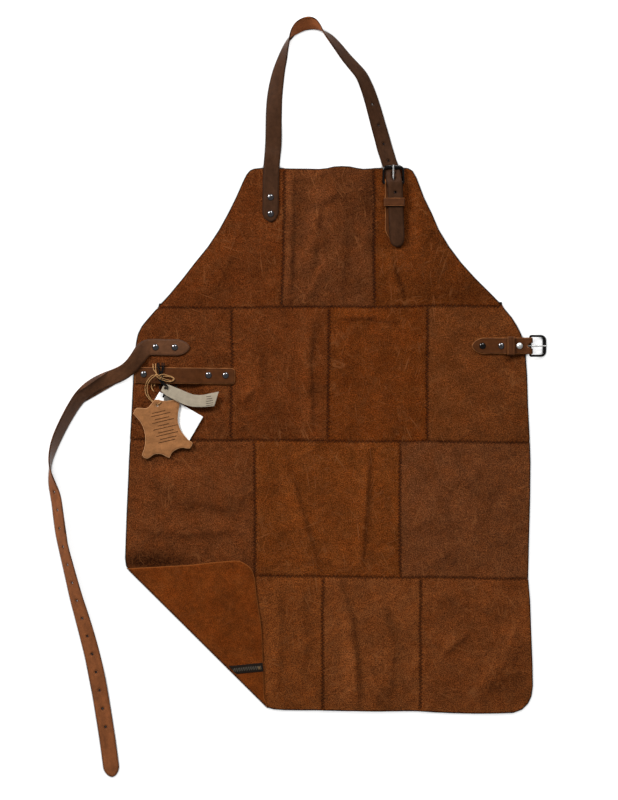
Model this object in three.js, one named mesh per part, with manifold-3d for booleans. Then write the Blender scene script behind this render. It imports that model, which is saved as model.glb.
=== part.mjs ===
// A patchwork leather work apron lying flat, front up, with its lower left corner folded over.
// Fourteen suede panels are butt-joined over backing tapes; the neck strap runs through a buckle,
// the waist strap lies loose at the left, a tool band is riveted at the hip and three tags hang on it.
// Millimetres. +X to the wearer-side right of the laid-out apron, +Y towards the neck, +Z up.
// Origin: centre of the footprint, on the surface that the apron lies on.
import * as THREE from "three";
import { mergeVertices } from "three/addons/utils/BufferGeometryUtils.js";
import Module from "manifold-3d";

const wasm = await Module();
wasm.setup();

// ---- driving dimensions -------------------------------------------------------------------
const GAP = 0.3; // clearance between pieces that touch
const TAPE_T = 0.6; // backing tape
const TAPE_W = 13;
const PANEL_Z0 = TAPE_T + GAP;
const PANEL_T = 1.6; // suede panel
const PANEL_Z1 = PANEL_Z0 + PANEL_T;
const SEAM_GAP = 0.4; // between two butted panels
const STRAP_T = 2.2; // strap leather
const STRAP_W = 23.6; // neck and waist strap
const CHAPE_W = 25; // riveted buckle pieces
const STRAP_Z0 = PANEL_Z1 + GAP; // underside of a strap riveted on a panel
const STRAP_ZC = STRAP_Z0 + STRAP_T / 2;
const FLOOR = 0.1;
const HOLE_R = 1.9; // punched hole, in straps and for rivets
const RIVET_R = 1.5;
const CAP_R = 4.8;
const CAP_H = 2.1;
const BACK_CAP_R = 4.2;
const BAR_R = 1.4; // heel bar of a buckle
const FRAME_T = 2.6;
const FRAME_L = 25.1; // outside, from the heel bar's back to the toe
const FRAME_W = 32.7;
const HEEL_Z = STRAP_Z0 + STRAP_T + GAP + 1.6; // height of the heel bar
const PRONG_W = 3;
const KEEPER_L = 10; // along the strap
const HOLE_PITCH = 27.8;

// ---- helpers ------------------------------------------------------------------------------
const leather = (hex, roughness = 0.75) =>
  new THREE.MeshStandardMaterial({ color: hex, roughness, metalness: 0 });
const SUEDE = leather(0x5f3116, 0.9);
const SUEDE_BACK = leather(0x66310f, 0.95);
const STRAP = leather(0x4c3226, 0.6);
const CHAPE = leather(0x553018, 0.65);
const TAPE = leather(0x2c2420, 0.9);
const METAL = new THREE.MeshStandardMaterial({ color: 0x6a6663, roughness: 0.25, metalness: 1 });
const HIDE = leather(0xa26e45, 0.7);
const PAPER = leather(0xfdfdfd, 0.6);
const LABEL = leather(0xa2967f, 0.85);
const JUTE = leather(0xb98f63, 0.9);
const BLACK = leather(0x141210, 0.8);

const group = new THREE.Group();
function add(name, geometry, material) {
  const mesh = new THREE.Mesh(geometry, material);
  mesh.name = name;
  group.add(mesh);
  return mesh;
}
function solid(geometry) {
  const g = (geometry.index ? geometry.toNonIndexed() : geometry.clone());
  g.deleteAttribute("normal");
  g.deleteAttribute("uv");
  const m = mergeVertices(g, 1e-4);
  let s = new wasm.Manifold(
    new wasm.Mesh({
      numProp: 3,
      vertProperties: m.attributes.position.array,
      triVerts: new Uint32Array(m.index.array),
    }),
  );
  return s;
}
function geometryOf(s) {
  const m = s.getMesh(), n = m.numProp;
  const v = new Float32Array(m.numVert * 3);
  for (let i = 0; i < m.numVert; i++) v.set(m.vertProperties.subarray(i * n, i * n + 3), i * 3);
  return new THREE.BufferGeometry()
    .setAttribute("position", new THREE.BufferAttribute(v, 3))
    .setIndex(new THREE.BufferAttribute(new Uint32Array(m.triVerts), 1));
}
const flip = (g) => {
  const s = g.index ? g.toNonIndexed() : g;
  const p = s.attributes.position.array;
  for (let i = 0; i < p.length; i += 9)
    for (let k = 0; k < 3; k++) [p[i + 3 + k], p[i + 6 + k]] = [p[i + 6 + k], p[i + 3 + k]];
  return s;
};
// A flat plate with the outline of points [x, y], from z0 to z1.
function plate(points, z0, z1) {
  const shape = new THREE.Shape(points.map(([x, y]) => new THREE.Vector2(x, y)));
  return new THREE.ExtrudeGeometry(shape, { depth: z1 - z0, bevelEnabled: false, steps: 1 }).translate(0, 0, z0);
}
// A profile of points [u, z] pushed along v from v0 to v1; u runs along direction a (in plan) from the point at.
function profile(points, v0, v1) {
  // built with u on x, z on y, v on z, then turned so that z is up
  const shape = new THREE.Shape(points.map(([u, z]) => new THREE.Vector2(u, z)));
  return new THREE.ExtrudeGeometry(shape, { depth: v1 - v0, bevelEnabled: false, steps: 1 })
    .translate(0, 0, v0)
    .rotateX(Math.PI / 2); // (u, z, v) -> (u, -v, z)
}
const cylinder = (r, z0, z1, x, y, sides = 10) =>
  new THREE.CylinderGeometry(r, r, z1 - z0, sides).rotateX(Math.PI / 2).translate(x, y, (z0 + z1) / 2);
function drill(s, holes, z0 = -5, z1 = 30, r = HOLE_R) {
  for (const [x, y] of holes) s = s.subtract(solid(cylinder(r, z0, z1, x, y)));
  return s;
}
// The closed outline of a strip of thickness t along the points [u, z].
function strip(points, t) {
  const c = points.map(([u, z]) => new THREE.Vector2(u, z));
  const left = [], right = [];
  c.forEach((p, i) => {
    const a = c[Math.max(i - 1, 0)], b = c[Math.min(i + 1, c.length - 1)];
    const d = b.clone().sub(a).normalize();
    left.push([p.x - (d.y * t) / 2, p.y + (d.x * t) / 2]);
    right.push([p.x + (d.y * t) / 2, p.y - (d.x * t) / 2]);
  });
  return [...left, ...right.reverse()];
}
// A flat strap that bends and rolls: stations [x, y, base, roll], where base is the height that its lower
// edge rests at and roll turns the grain side from up (0) towards the left of travel, past 90 on edge, to 180.
function ribbonFrame(stations, width, thickness, fixedZ = false) {
  const pts = stations.map(([x, y, base, roll]) => {
    const f = (roll * Math.PI) / 180;
    const z = fixedZ ? base : base + (width / 2) * Math.abs(Math.sin(f)) + (thickness / 2) * Math.abs(Math.cos(f));
    return new THREE.Vector3(x, y, z);
  });
  const curve = new THREE.CatmullRomCurve3(pts, false, "centripetal");
  const length = curve.getLength();
  // arc length of each station, so that roll can be read along the curve
  const n = 1200;
  const fine = Array.from({ length: n + 1 }, (_, i) => curve.getPoint(i / n));
  const run = [0];
  for (let i = 1; i <= n; i++) run.push(run[i - 1] + fine[i].distanceTo(fine[i - 1]));
  const stationAt = stations.map((_, i) => run[Math.round((i / (stations.length - 1)) * n)]);
  const total = run[n];
  const at = (s) => {
    const u = Math.min(Math.max(s / total, 0), 1);
    const point = curve.getPointAt(u);
    const tangent = curve.getPointAt(Math.min(u + 0.002, 1)).sub(curve.getPointAt(Math.max(u - 0.002, 0))).normalize();
    let k = 0;
    while (k < stationAt.length - 2 && s > stationAt[k + 1]) k++;
    const q = Math.min(Math.max((s - stationAt[k]) / Math.max(stationAt[k + 1] - stationAt[k], 1e-6), 0), 1);
    const roll = ((stations[k][3] + (stations[k + 1][3] - stations[k][3]) * q) * Math.PI) / 180;
    const w0 = new THREE.Vector3(0, 0, 1).cross(tangent).normalize();
    const n0 = tangent.clone().cross(w0);
    return {
      point,
      tangent,
      across: w0.clone().multiplyScalar(Math.cos(roll)).addScaledVector(n0, -Math.sin(roll)),
      normal: n0.clone().multiplyScalar(Math.cos(roll)).addScaledVector(w0, Math.sin(roll)),
    };
  };
  return { at, length: total };
}
// ends: how long a rounded point each end has (0 for a square cut)
function ribbon(frame, s0, s1, width, thickness, steps, ends = [0, 0]) {
  const list = [];
  const tip = (n) => Array.from({ length: 6 }, (_, i) => n * (1 - Math.cos((i / 6) * (Math.PI / 2))));
  const a = ends[0] ? tip(ends[0]) : [0];
  const b = ends[1] ? tip(ends[1]) : [0];
  for (const d of a) list.push(s0 + d);
  const i0 = s0 + ends[0], i1 = s1 - ends[1];
  for (let i = ends[0] ? 0 : 1; i <= (ends[1] ? steps : steps - 1); i++) list.push(i0 + ((i1 - i0) * i) / steps);
  for (const d of b.reverse()) list.push(s1 - d);
  const scale = (s) => {
    let f = 1;
    if (ends[0] && s - s0 < ends[0]) f = Math.sqrt(Math.max(1 - ((ends[0] - (s - s0)) / ends[0]) ** 2, 0));
    if (ends[1] && s1 - s < ends[1]) f = Math.sqrt(Math.max(1 - ((ends[1] - (s1 - s)) / ends[1]) ** 2, 0));
    return Math.max(f, 0.16);
  };
  const n = list.length - 1;
  const g = new THREE.BoxGeometry(n, 1, 1, n, 1, 1);
  const p = g.attributes.position;
  for (let i = 0; i < p.count; i++) {
    const k = Math.round(p.getX(i) + n / 2);
    const f = frame.at(list[k]);
    const q = f.point.clone()
      .addScaledVector(f.across, p.getY(i) * width * scale(list[k]))
      .addScaledVector(f.normal, p.getZ(i) * thickness);
    p.setXYZ(i, q.x, q.y, q.z);
  }
  return solid(g);
}
// What is left of a solid on one side of the plane x or y = at; side is 1 or -1.
function keep(s, axis, at, side) {
  const big = 1200, c = [0, 0, 0];
  c[axis] = at + (side * big) / 2;
  return s.intersect(solid(new THREE.BoxGeometry(big, big, big).translate(...c)));
}
function punch(s, frame, at, r = HOLE_R, stretch = 1) {
  for (const d of at) {
    const f = frame.at(d);
    const c = new THREE.CylinderGeometry(r, r, 9, 8);
    if (stretch !== 1) c.scale(1, 1, stretch); // the slot runs along the strap
    const m = new THREE.Matrix4().makeBasis(f.across, f.normal, f.tangent.clone().multiplyScalar(1));
    // keep the basis right-handed: across x normal = tangent or its reverse
    if (m.determinant() < 0) m.makeBasis(f.across.clone().multiplyScalar(-1), f.normal, f.tangent);
    m.setPosition(f.point);
    s = s.subtract(solid(c.applyMatrix4(m)));
  }
  return s;
}
// A set rivet: domed cap, shank and flat back cap, as one piece. top is the surface that the cap sits on.
function rivet(name, x, y, top) {
  const z0 = top + GAP;
  const pts = [
    [0, 0], [BACK_CAP_R, 0], [BACK_CAP_R, TAPE_T], [RIVET_R, TAPE_T], [RIVET_R, z0],
    [CAP_R, z0], [CAP_R, z0 + 0.5], [CAP_R * 0.82, z0 + CAP_H * 0.68], [CAP_R * 0.45, z0 + CAP_H * 0.94], [0, z0 + CAP_H],
  ].map(([r, z]) => new THREE.Vector2(r, z));
  const g = new THREE.LatheGeometry(pts, 12).rotateX(Math.PI / 2);
  let s = solid(g);
  if (s.volume() < 0) s = solid(flip(g));
  add(name, geometryOf(s).translate(x, y, 0), METAL);
}

// ---- the panels ---------------------------------------------------------------------------
// Outlines of the whole apron, in four rows. Each row's panels are cut from its outline at the seams.
const H1 = 135.7, H2 = -64.6, H3 = -267.8; // horizontal seams
const LEFT_BIB = [[-24.8, 345.2], [-53.3, 344.2], [-65.3, 343.3], [-71.3, 340.7], [-76.6, 334.4], [-81.8, 323.9], [-92.3, 299.9], [-104.3, 275.9], [-117.8, 251.2], [-134.3, 226.4], [-153.8, 202.4], [-171.8, 179.2], [-191.3, 155.2], [-206.3, 140.2]];
const RIGHT_BIB = [[117.7, 345.2], [153.7, 345.2], [165.7, 344.2], [172.4, 340.4], [178.4, 329.9], [189.7, 299.9], [201.7, 275.9], [212.2, 251.2], [227.2, 226.4], [245.2, 202.4], [266.2, 179.2], [290.2, 155.2], [305.2, 140.2]];
const TOP_MID = [[-24.8, 345.2], [-11.3, 344.5], [12.7, 344.5], [36.7, 346.3], [63.7, 347.5], [90.7, 346.6], [117.7, 345.2]];
const LEFT_2 = [[-212.3, 131.9], [-222.8, 119.9], [-233.3, 107.2], [-239.3, 95.2], [-241.9, 83.2], [-243.4, 68.2], [-244.9, 47.2], [-246.8, 20.2], [-248.8, -21.8], [-251.0, -60.8]];
const RIGHT_2 = [[311.2, 131.9], [321.7, 119.2], [329.2, 107.2], [335.2, 95.2], [339.7, 81.7], [341.9, 65.2], [344.2, 35.2], [345.7, -12.8], [348.1, -60.8]];
const LEFT_3 = [[-251.3, -68.3], [-252.8, -96.8], [-254.3, -132.8], [-256.1, -171.8], [-257.6, -213.8], [-258.5, -240.8], [-257.0, -252.8], [-255.2, -258.2]];
const RIGHT_3 = [[348.4, -68.3], [349.3, -96.8], [348.7, -153.8], [347.2, -207.8], [346.0, -263.3]];
const RIGHT_4 = [[346.1, -272.3], [348.7, -303.8], [350.5, -351.8], [352.3, -399.8], [352.9, -432.8], [350.9, -447.8], [345.7, -459.1], [336.7, -468.1], [323.2, -473.0], [300.7, -473.8]];
const FOLD_A = [-255.8, -257.3], FOLD_B = [-45.8, -465.8]; // the fold's two ends
const half = SEAM_GAP / 2;
const y = (p) => p[1];
const panel = (name, points, holes = []) =>
  add(name, geometryOf(drill(solid(plate(points, PANEL_Z0, PANEL_Z1)), holes)), SUEDE);

const R = {
  waist: [[-184.1, 75.1], [-212.8, 75.4]],
  band: [[-230.5, 34.9], [-133.4, 33.4], [-107.9, 33.1]],
  side: [[277.3, 77.3], [305.8, 77.3], [332.9, 77.3]],
  neck: [[-40.3, 275.3], [-40.3, 300.2]],
  chape: [[143.6, 263.2], [143.6, 307.4]],
};
const BIB_V1T = -18.8, BIB_V1B = -23.3, BIB_V2T = 114.7, BIB_V2B = 115.1;
panel("bib_panel_left", [[BIB_V1T - half, LEFT_BIB[0][1]], ...LEFT_BIB.slice(1), [LEFT_BIB.at(-1)[0] - 3, H1 + half], [BIB_V1B - half, H1 + half]], R.neck);
panel("bib_panel_centre", [[BIB_V2T - half, y(RIGHT_BIB[0])], ...TOP_MID.slice(1, -1).reverse(), [BIB_V1T + half, y(LEFT_BIB[0])], [BIB_V1B + half, H1 + half], [BIB_V2B - half, H1 + half]]);
panel("bib_panel_right", [[BIB_V2B + half, H1 + half], [RIGHT_BIB.at(-1)[0] + 3, H1 + half], ...RIGHT_BIB.slice(1).reverse(), [BIB_V2T + half, y(RIGHT_BIB[0])]], R.chape);

const V2 = [-98.9, 46.6, 194.6];
panel("waist_panel_a", [[LEFT_2[0][0] + 2, H1 - half], ...LEFT_2, [LEFT_2.at(-1)[0], H2 + half], [V2[0] - half, H2 + half], [V2[0] - half, H1 - half]], [...R.waist, ...R.band]);
panel("waist_panel_b", [[V2[0] + half, H1 - half], [V2[0] + half, H2 + half], [V2[1] - half, H2 + half], [V2[1] - half, H1 - half]]);
panel("waist_panel_c", [[V2[1] + half, H1 - half], [V2[1] + half, H2 + half], [V2[2] - half, H2 + half], [V2[2] - half, H1 - half]]);
panel("waist_panel_d", [[V2[2] + half, H1 - half], [V2[2] + half, H2 + half], [RIGHT_2.at(-1)[0], H2 + half], ...[...RIGHT_2].reverse(), [RIGHT_2[0][0] - 2, H1 - half]], R.side);

const V3 = [-63.8, 153.7];
const foldX = (yy) => FOLD_A[0] + ((FOLD_A[1] - yy) / (FOLD_A[1] - FOLD_B[1])) * (FOLD_B[0] - FOLD_A[0]);
const foldY = (xx) => FOLD_A[1] - ((xx - FOLD_A[0]) / (FOLD_B[0] - FOLD_A[0])) * (FOLD_A[1] - FOLD_B[1]);
const EDGE = 0.5; // how far a panel stops short of the fold's axis
panel("thigh_panel_a", [[LEFT_3[0][0], H2 - half], ...LEFT_3.slice(0, -1), [FOLD_A[0] + EDGE, FOLD_A[1] + EDGE], [foldX(H3 + half) + 2 * EDGE, H3 + half], [V3[0] - half, H3 + half], [V3[0] - half, H2 - half]]);
panel("thigh_panel_b", [[V3[0] + half, H2 - half], [V3[0] + half, H3 + half], [V3[1] - half, H3 + half], [V3[1] - half, H2 - half]]);
panel("thigh_panel_c", [[V3[1] + half, H2 - half], [V3[1] + half, H3 + half], [RIGHT_3.at(-1)[0], H3 + half], ...[...RIGHT_3].reverse(), [RIGHT_3[0][0], H2 - half]]);

const V4 = [-105.1, 38.2, 184.4];
panel("hem_panel_a", [[foldX(H3 - half) + 2 * EDGE, H3 - half], [V4[0] - half, foldY(V4[0] - half) + 2 * EDGE], [V4[0] - half, H3 - half]]);
panel("hem_panel_b", [[V4[0] + half, H3 - half], [V4[0] + half, foldY(V4[0] + half) + 2 * EDGE], [FOLD_B[0], FOLD_B[1] + 2 * EDGE], [-39.8, -467.8], [-18.8, -469.4], [9.7, -469.4], [V4[1] - half, -468.2], [V4[1] - half, H3 - half]]);
panel("hem_panel_c", [[V4[1] + half, H3 - half], [V4[1] + half, -468.2], [74.2, -470.3], [123.7, -470.9], [161.2, -470.3], [V4[2] - half, -468.7], [V4[2] - half, H3 - half]]);
panel("hem_panel_d", [[V4[2] + half, H3 - half], [V4[2] + half, -468.7], [204.7, -471.5], [231.7, -473.3], [267.7, -474.1], ...[...RIGHT_4].reverse(), [RIGHT_4[0][0], H3 - half]]);

// ---- the folded corner: the same suede, turned over, its back and its tape facing up ----------
const FLAP_Z0 = PANEL_Z1 + 2 * GAP, FLAP_Z1 = FLAP_Z0 + PANEL_T;
const FOLD_Z = (PANEL_Z1 + FLAP_Z0) / 2; // opened flat, the flap lies level with the other panels
const TAPE_TOP = [[-104.0, -402.2], [-52.7, -397.1]], TAPE_BOTTOM = [[-92.9, -414.2], [-51.2, -410.3]];
const seamL = [-98.0, -409.1], seamR = [-51.5, -404.6]; // the seam between the two panels, on the flap
add("flap_panel_a", plate([[FOLD_A[0] + 2 * EDGE, FOLD_A[1] + EDGE * 0.4], [seamL[0] + 1.4, seamL[1] + 0.9], [seamR[0] - 0.2, seamR[1] + 0.3],
  [-52.6, -378.8], [-56.9, -334.6], [-60.4, -300.1], [-62.3, -277.6], [-65.8, -265.4], [-71.8, -255.8], [-78.7, -249.1], [-89.0, -245.0], [-101.0, -245.6], [-128.6, -249.1], [-156.1, -252.4], [-206.0, -255.4], [-236.3, -256.7]], FLAP_Z0, FLAP_Z1), SUEDE_BACK);
add("flap_panel_b", plate([[seamL[0] + 1.8, seamL[1] + 0.3], [FOLD_B[0] - 1, FOLD_B[1] + 2], [-48.5, -454.9], [-50.3, -437.6], [seamR[0] + 0.1, seamR[1] - 0.3]], FLAP_Z0, FLAP_Z1), SUEDE_BACK);
add("flap_seam_tape", plate([[TAPE_TOP[0][0] + 2, TAPE_TOP[0][1]], [TAPE_BOTTOM[0][0] + 2, TAPE_BOTTOM[0][1]], [TAPE_BOTTOM[1][0] - 1, TAPE_BOTTOM[1][1]], [TAPE_TOP[1][0] - 1, TAPE_TOP[1][1]]], FLAP_Z1 + GAP, FLAP_Z1 + GAP + TAPE_T), TAPE);

// ---- backing tapes under the seams ----------------------------------------------------------
const hw = TAPE_W / 2;
const bar = (x0, y0, x1, y1) => plate([[x0, y0], [x1, y0], [x1, y1], [x0, y1]], 0, TAPE_T);
const clear = hw + GAP;
add("seam_tape_bib", bar(-209.3, H1 - hw, 308.2, H1 + hw), TAPE);
add("seam_tape_waist", bar(-249.1, H2 - hw, 346.4, H2 + hw), TAPE);
{
  // the hem tape carries the short length of upright tape that stops at the fold
  const stub = plate([[V4[0] - hw, H3 - hw + 1], [V4[0] - hw, foldY(V4[0] - hw) + 2], [V4[0] + hw, foldY(V4[0] + hw) + 2], [V4[0] + hw, H3 - hw + 1]], 0, TAPE_T);
  const across = plate([[foldX(H3 - hw) + 2, H3 - hw], [344.2, H3 - hw], [344.2, H3 + hw], [foldX(H3 + hw) + 2, H3 + hw]], 0, TAPE_T);
  add("seam_tape_hem", geometryOf(solid(across).add(solid(stub))), TAPE);
}
const slant = (xt, xb, yt, yb) => plate([[xt - hw, yt], [xb - hw, yb], [xb + hw, yb], [xt + hw, yt]], 0, TAPE_T);
add("seam_tape_bib_left", slant(BIB_V1T, BIB_V1B, 342.7, H1 + clear), TAPE);
add("seam_tape_bib_right", slant(BIB_V2T, BIB_V2B, 342.7, H1 + clear), TAPE);
V2.forEach((x, i) => {
  // the first of these tapes is trimmed round the back of the tool band's last rivet
  const s = drill(solid(slant(x, x, H1 - clear, H2 + clear)), [R.band[2]], -1, 2, BACK_CAP_R + GAP);
  add("seam_tape_waist_" + "abc"[i], geometryOf(s), TAPE);
});
V3.forEach((x, i) => add("seam_tape_thigh_" + "ab"[i], slant(x, x, H2 - clear, H3 + clear), TAPE));
add("seam_tape_hem_b", slant(V4[1], V4[1], H3 - clear, -465.8), TAPE);
add("seam_tape_hem_c", slant(V4[2], V4[2], H3 - clear, -466.6), TAPE);

// ---- the neck strap -------------------------------------------------------------------------
// Riveted at the left, it rises over the neck opening, rolls over to show its flesh side at the top,
// comes down the right, passes under the buckle's toe bar and over its heel bar, and ends in a tail.
const NECK_FOLD_Y = 358.7, NECK_FOLD_Z = STRAP_Z0 + STRAP_T;
const anchor = ribbonFrame([[-40.7, 262.6, 2.8, 0], [-40.3, 288.7, 2.8, 0], [-40.1, 318.7, 2.8, 0], [-39.4, 341.2, 2.8, 0], [-38.3, 354.5, 2.8, 0], [-37.6, 365.2, 2.8, 0]], STRAP_W, STRAP_T);
{
  const s = ribbon(anchor, 0, anchor.length, STRAP_W + 1, STRAP_T, 6, [9, 0]);
  add("neck_strap_anchor", geometryOf(keep(drill(s, R.neck), 1, NECK_FOLD_Y - 0.2, -1)), STRAP);
}
const loop = ribbonFrame([
  [-38.5, 351.7, 2.8, 0], [-37.9, 358.7, 2.8, 0], [-37.3, 365.2, 2.3, 0], [-36.5, 374.2, 0.8, 0], [-35.9, 386.2, 0.2, 2], [-35.6, 405.7, 0.2, 6], [-35.3, 428.2, 0.2, 12], [-34.1, 449.2, 0.2, 19],
  [-30.8, 473.2, 0.2, 31], [-27.1, 491.2, 0.2, 43], [-22.4, 507.7, 0.2, 54], [-17.6, 524.2, 0.2, 70], [-12.5, 537.7, 0.2, 84], [-6.8, 547.0, 0.2, 108], [-0.2, 553.6, 0.2, 128],
  [8.2, 558.7, 0.2, 136], [17.6, 561.1, 0.2, 140], [24.7, 559.9, 0.2, 130], [31.6, 555.4, 0.2, 106], [38.9, 548.2, 0.2, 82], [49.4, 538.3, 0.2, 64], [60.7, 524.9, 0.2, 56],
  [72.7, 509.2, 0.2, 50], [83.9, 496.4, 0.2, 45], [95.2, 482.9, 0.2, 41], [103.1, 466.4, 0.2, 34], [109.3, 449.2, 0.2, 28], [115.6, 428.2, 0.2, 22], [121.3, 407.2, 0.2, 16], [127.3, 386.2, 0.2, 9],
  [130.7, 373.6, 0.9, 4], [133.6, 364.9, 2.4, 0], [135.5, 358.7, 2.8, 0], [137.5, 352.3, 2.8, 0],
], STRAP_W, STRAP_T);
{
  let s = ribbon(loop, 0, loop.length, STRAP_W, STRAP_T, 64, [0, 0]);
  // punched holes, counted back from the buckle
  const down = (yy) => { let d = loop.length; while (loop.at(d).point.y < yy) d -= 0.25; return d; };
  s = punch(s, loop, [380.0, 408.2, 439.3].map(down), HOLE_R);
  add("neck_strap_loop", geometryOf(keep(s, 1, NECK_FOLD_Y + 0.2, 1)), STRAP);
}
const tail = ribbonFrame([
  [133.9, 364.6, 3.9, 0], [135.5, 358.7, 3.9, 0], [137.6, 351.7, 3.9, 0], [140.2, 345.2, 3.9, 0], [142.1, 339.1, 4.15, 0], [143.3, 334.6, 6.2, 0], [144.2, 329.5, 10, 0], [144.8, 325.3, 12.6, 0],
  [145.4, 320.9, 13.1, 0], [146.0, 314.9, 12.4, 0], [146.5, 307.4, 11.4, 0], [146.8, 293.9, 10.95, 0], [147.2, 284.2, 9.7, 0], [147.7, 275.2, 9, 0], [148.1, 263.2, 8.9, 0], [148.7, 248.2, 8.2, 0], [149.2, 236.2, 6.9, 0], [149.6, 225.1, 5.3, 0],
], STRAP_W, STRAP_T, true);
{
  let s = ribbon(tail, 0, tail.length, STRAP_W - 0.6, STRAP_T, 34, [0, 13]);
  // the hole that the prong stands in is pulled long; the next one is free
  const down = (yy) => { let d = 0; while (tail.at(d).point.y > yy) d += 0.25; return d; };
  const [nx] = [143.6, 323.2];
  s = s.subtract(solid(plate([[nx - 2.4, 325.3], [nx + 2.4, 325.3], [nx + 2.4, 338.8], [nx - 2.4, 338.8]], 2, 20)));
  s = punch(s, tail, [down(354.7), down(307.1)], HOLE_R);
  add("neck_strap_tail", geometryOf(keep(s, 1, NECK_FOLD_Y - 0.2, -1)), STRAP);
}

// ---- buckle pieces --------------------------------------------------------------------------
// A chape: strap leather folded round the heel bar. u runs from the heel bar to the tip, v across.
const CHAPE_L = 87.8;
const LOOP_R = BAR_R + 0.5 + STRAP_T / 2;
const LOOP_Z = STRAP_Z0 + STRAP_T / 2 + LOOP_R;
function chape() {
  const up = STRAP_ZC + STRAP_T + GAP;
  const c = [[CHAPE_L, STRAP_ZC], [37.9, STRAP_ZC], [37.2, STRAP_ZC + 0.6], [36.4, up - 0.6], [35.7, up], [8, up]];
  c.push([5, up + 1], [2.6, LOOP_Z + LOOP_R - 0.35]);
  for (let k = 0; k <= 8; k++) {
    const f = Math.PI / 2 + (k / 8) * Math.PI;
    c.push([LOOP_R * Math.cos(f), LOOP_Z + LOOP_R * Math.sin(f)]);
  }
  c.push([4, STRAP_ZC], [21, STRAP_ZC]);
  const body = solid(profile(strip(c, STRAP_T), -CHAPE_W / 2, CHAPE_W / 2));
  const w = CHAPE_W / 2;
  const outline = [[-12, -w], [CHAPE_L - 16, -w], [CHAPE_L - 9, -w + 2.6], [CHAPE_L - 3.6, -w + 7], [CHAPE_L - 0.8, -2.6], [CHAPE_L, 0],
    [CHAPE_L - 0.8, 2.6], [CHAPE_L - 3.6, w - 7], [CHAPE_L - 9, w - 2.6], [CHAPE_L - 16, w], [-12, w]];
  const slot = solid(plate([[-8, -2.3], [9, -2.3], [9, 2.3], [-8, 2.3]], -2, 30));
  return body.intersect(solid(plate(outline, -2, 30))).subtract(slot);
}
// A buckle frame. a runs from the heel bar to the toe, centred on the heel bar.
function frame() {
  const rr = (x0, x1, w, r0, r1) => {
    const p = [];
    const arc = (cx, cy, r, f0) => { for (let k = 0; k <= 4; k++) p.push([cx + r * Math.cos(f0 + (k / 4) * (Math.PI / 2)), cy + r * Math.sin(f0 + (k / 4) * (Math.PI / 2))]); };
    arc(x1 - r1, w - r1, r1, 0);
    arc(x0 + r0, w - r0, r0, Math.PI / 2);
    arc(x0 + r0, -w + r0, r0, Math.PI);
    arc(x1 - r1, -w + r1, r1, (3 * Math.PI) / 2);
    return p;
  };
  const t = FRAME_T / 2;
  let s = solid(plate(rr(-1.5, FRAME_L - 1.5, FRAME_W / 2, 2.4, 7), -t, t));
  s = s.subtract(solid(plate(rr(1.5, 18.2, FRAME_W / 2 - 3, 1, 3.2), -t - 1, t + 1)));
  s = s.subtract(solid(plate([[-4, -13.35], [1.6, -13.35], [1.6, 13.35], [-4, 13.35]], -t - 1, t + 1)));
  return s.add(solid(new THREE.CylinderGeometry(BAR_R, BAR_R, 28.4, 12)));
}
// A prong: an eye on the heel bar and an arm that rests on the toe bar.
function prong() {
  const ring = (r) => Array.from({ length: 12 }, (_, k) => [r * Math.cos((k / 12) * 2 * Math.PI), r * Math.sin((k / 12) * 2 * Math.PI)]);
  const w = PRONG_W / 2;
  const arm = [[1.2, 0.4], [17, 1.75], [24.6, 1.75], [25.4, 2.4], [24.8, 3.3], [17, 3.5], [2.2, 2.7], [0, 2.85]];
  return solid(profile(ring(2.85), -w, w)).add(solid(profile(arm, -w, w))).subtract(solid(profile(ring(BAR_R + 0.35), -w - 1, w + 1)));
}
// A keeper: a closed leather loop round the chape, from z0 to z1.
function keeper(o, z0, z1) {
  const i = o - 1.35, t = 1.3;
  const rect = (w, a, b, c) => [[-w + c, a], [w - c, a], [w, a + c], [w, b - c], [w - c, b], [-w + c, b], [-w, b - c], [-w, a + c]];
  return solid(profile(rect(o, z0, z1, 1.2), -KEEPER_L / 2, KEEPER_L / 2))
    .subtract(solid(profile(rect(i, z0 + t, z1 - t, 0.4), -KEEPER_L, KEEPER_L)));
}
// The side buckle: u points to -X. Its frame hangs past the apron's edge, with its toe on the floor.
const SIDE = [348.7, 77.3], NECK = [143.6, 323.2];
const SIDE_TILT = Math.asin((LOOP_Z - FRAME_T / 2 - FLOOR - 0.05) / (FRAME_L - 1.5 + 0.3));
const place = (s, name, material, m) => add(name, geometryOf(s).applyMatrix4(m), material);
const turn = (x, yy, z, rz, pre) => {
  const m = new THREE.Matrix4().makeTranslation(x, yy, z).multiply(new THREE.Matrix4().makeRotationZ(rz));
  return pre ? m.multiply(pre) : m;
};
const drilled = (s, us) => { for (const u of us) s = s.subtract(solid(cylinder(HOLE_R, -5, 30, u, 0))); return s; };
place(drilled(chape(), [(SIDE[0] - R.side[0][0]), (SIDE[0] - R.side[1][0]), (SIDE[0] - R.side[2][0])]), "side_buckle_chape", CHAPE, turn(SIDE[0], SIDE[1], 0, Math.PI));
place(drilled(chape(), [(NECK[1] - R.chape[0][1]), (NECK[1] - R.chape[1][1])]), "neck_buckle_chape", CHAPE, turn(NECK[0], NECK[1], 0, -Math.PI / 2));
const tip = new THREE.Matrix4().makeRotationY(SIDE_TILT);
place(frame(), "side_buckle_frame", METAL, turn(SIDE[0], SIDE[1], LOOP_Z, 0, tip));
place(prong(), "side_buckle_prong", METAL, turn(SIDE[0], SIDE[1], LOOP_Z, 0, tip));
place(frame(), "neck_buckle_frame", METAL, turn(NECK[0], NECK[1], LOOP_Z, Math.PI / 2));
place(prong(), "neck_buckle_prong", METAL, turn(NECK[0], NECK[1], LOOP_Z, Math.PI / 2));
place(keeper(14.2, STRAP_Z0, 11.4), "side_keeper", CHAPE, turn(SIDE[0] - 29, SIDE[1], 0, Math.PI / 2));
place(keeper(15.8, STRAP_Z0, 13.8), "neck_keeper", CHAPE, turn(NECK[0] + 1.4, NECK[1] - 29, 0, 0));

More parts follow.
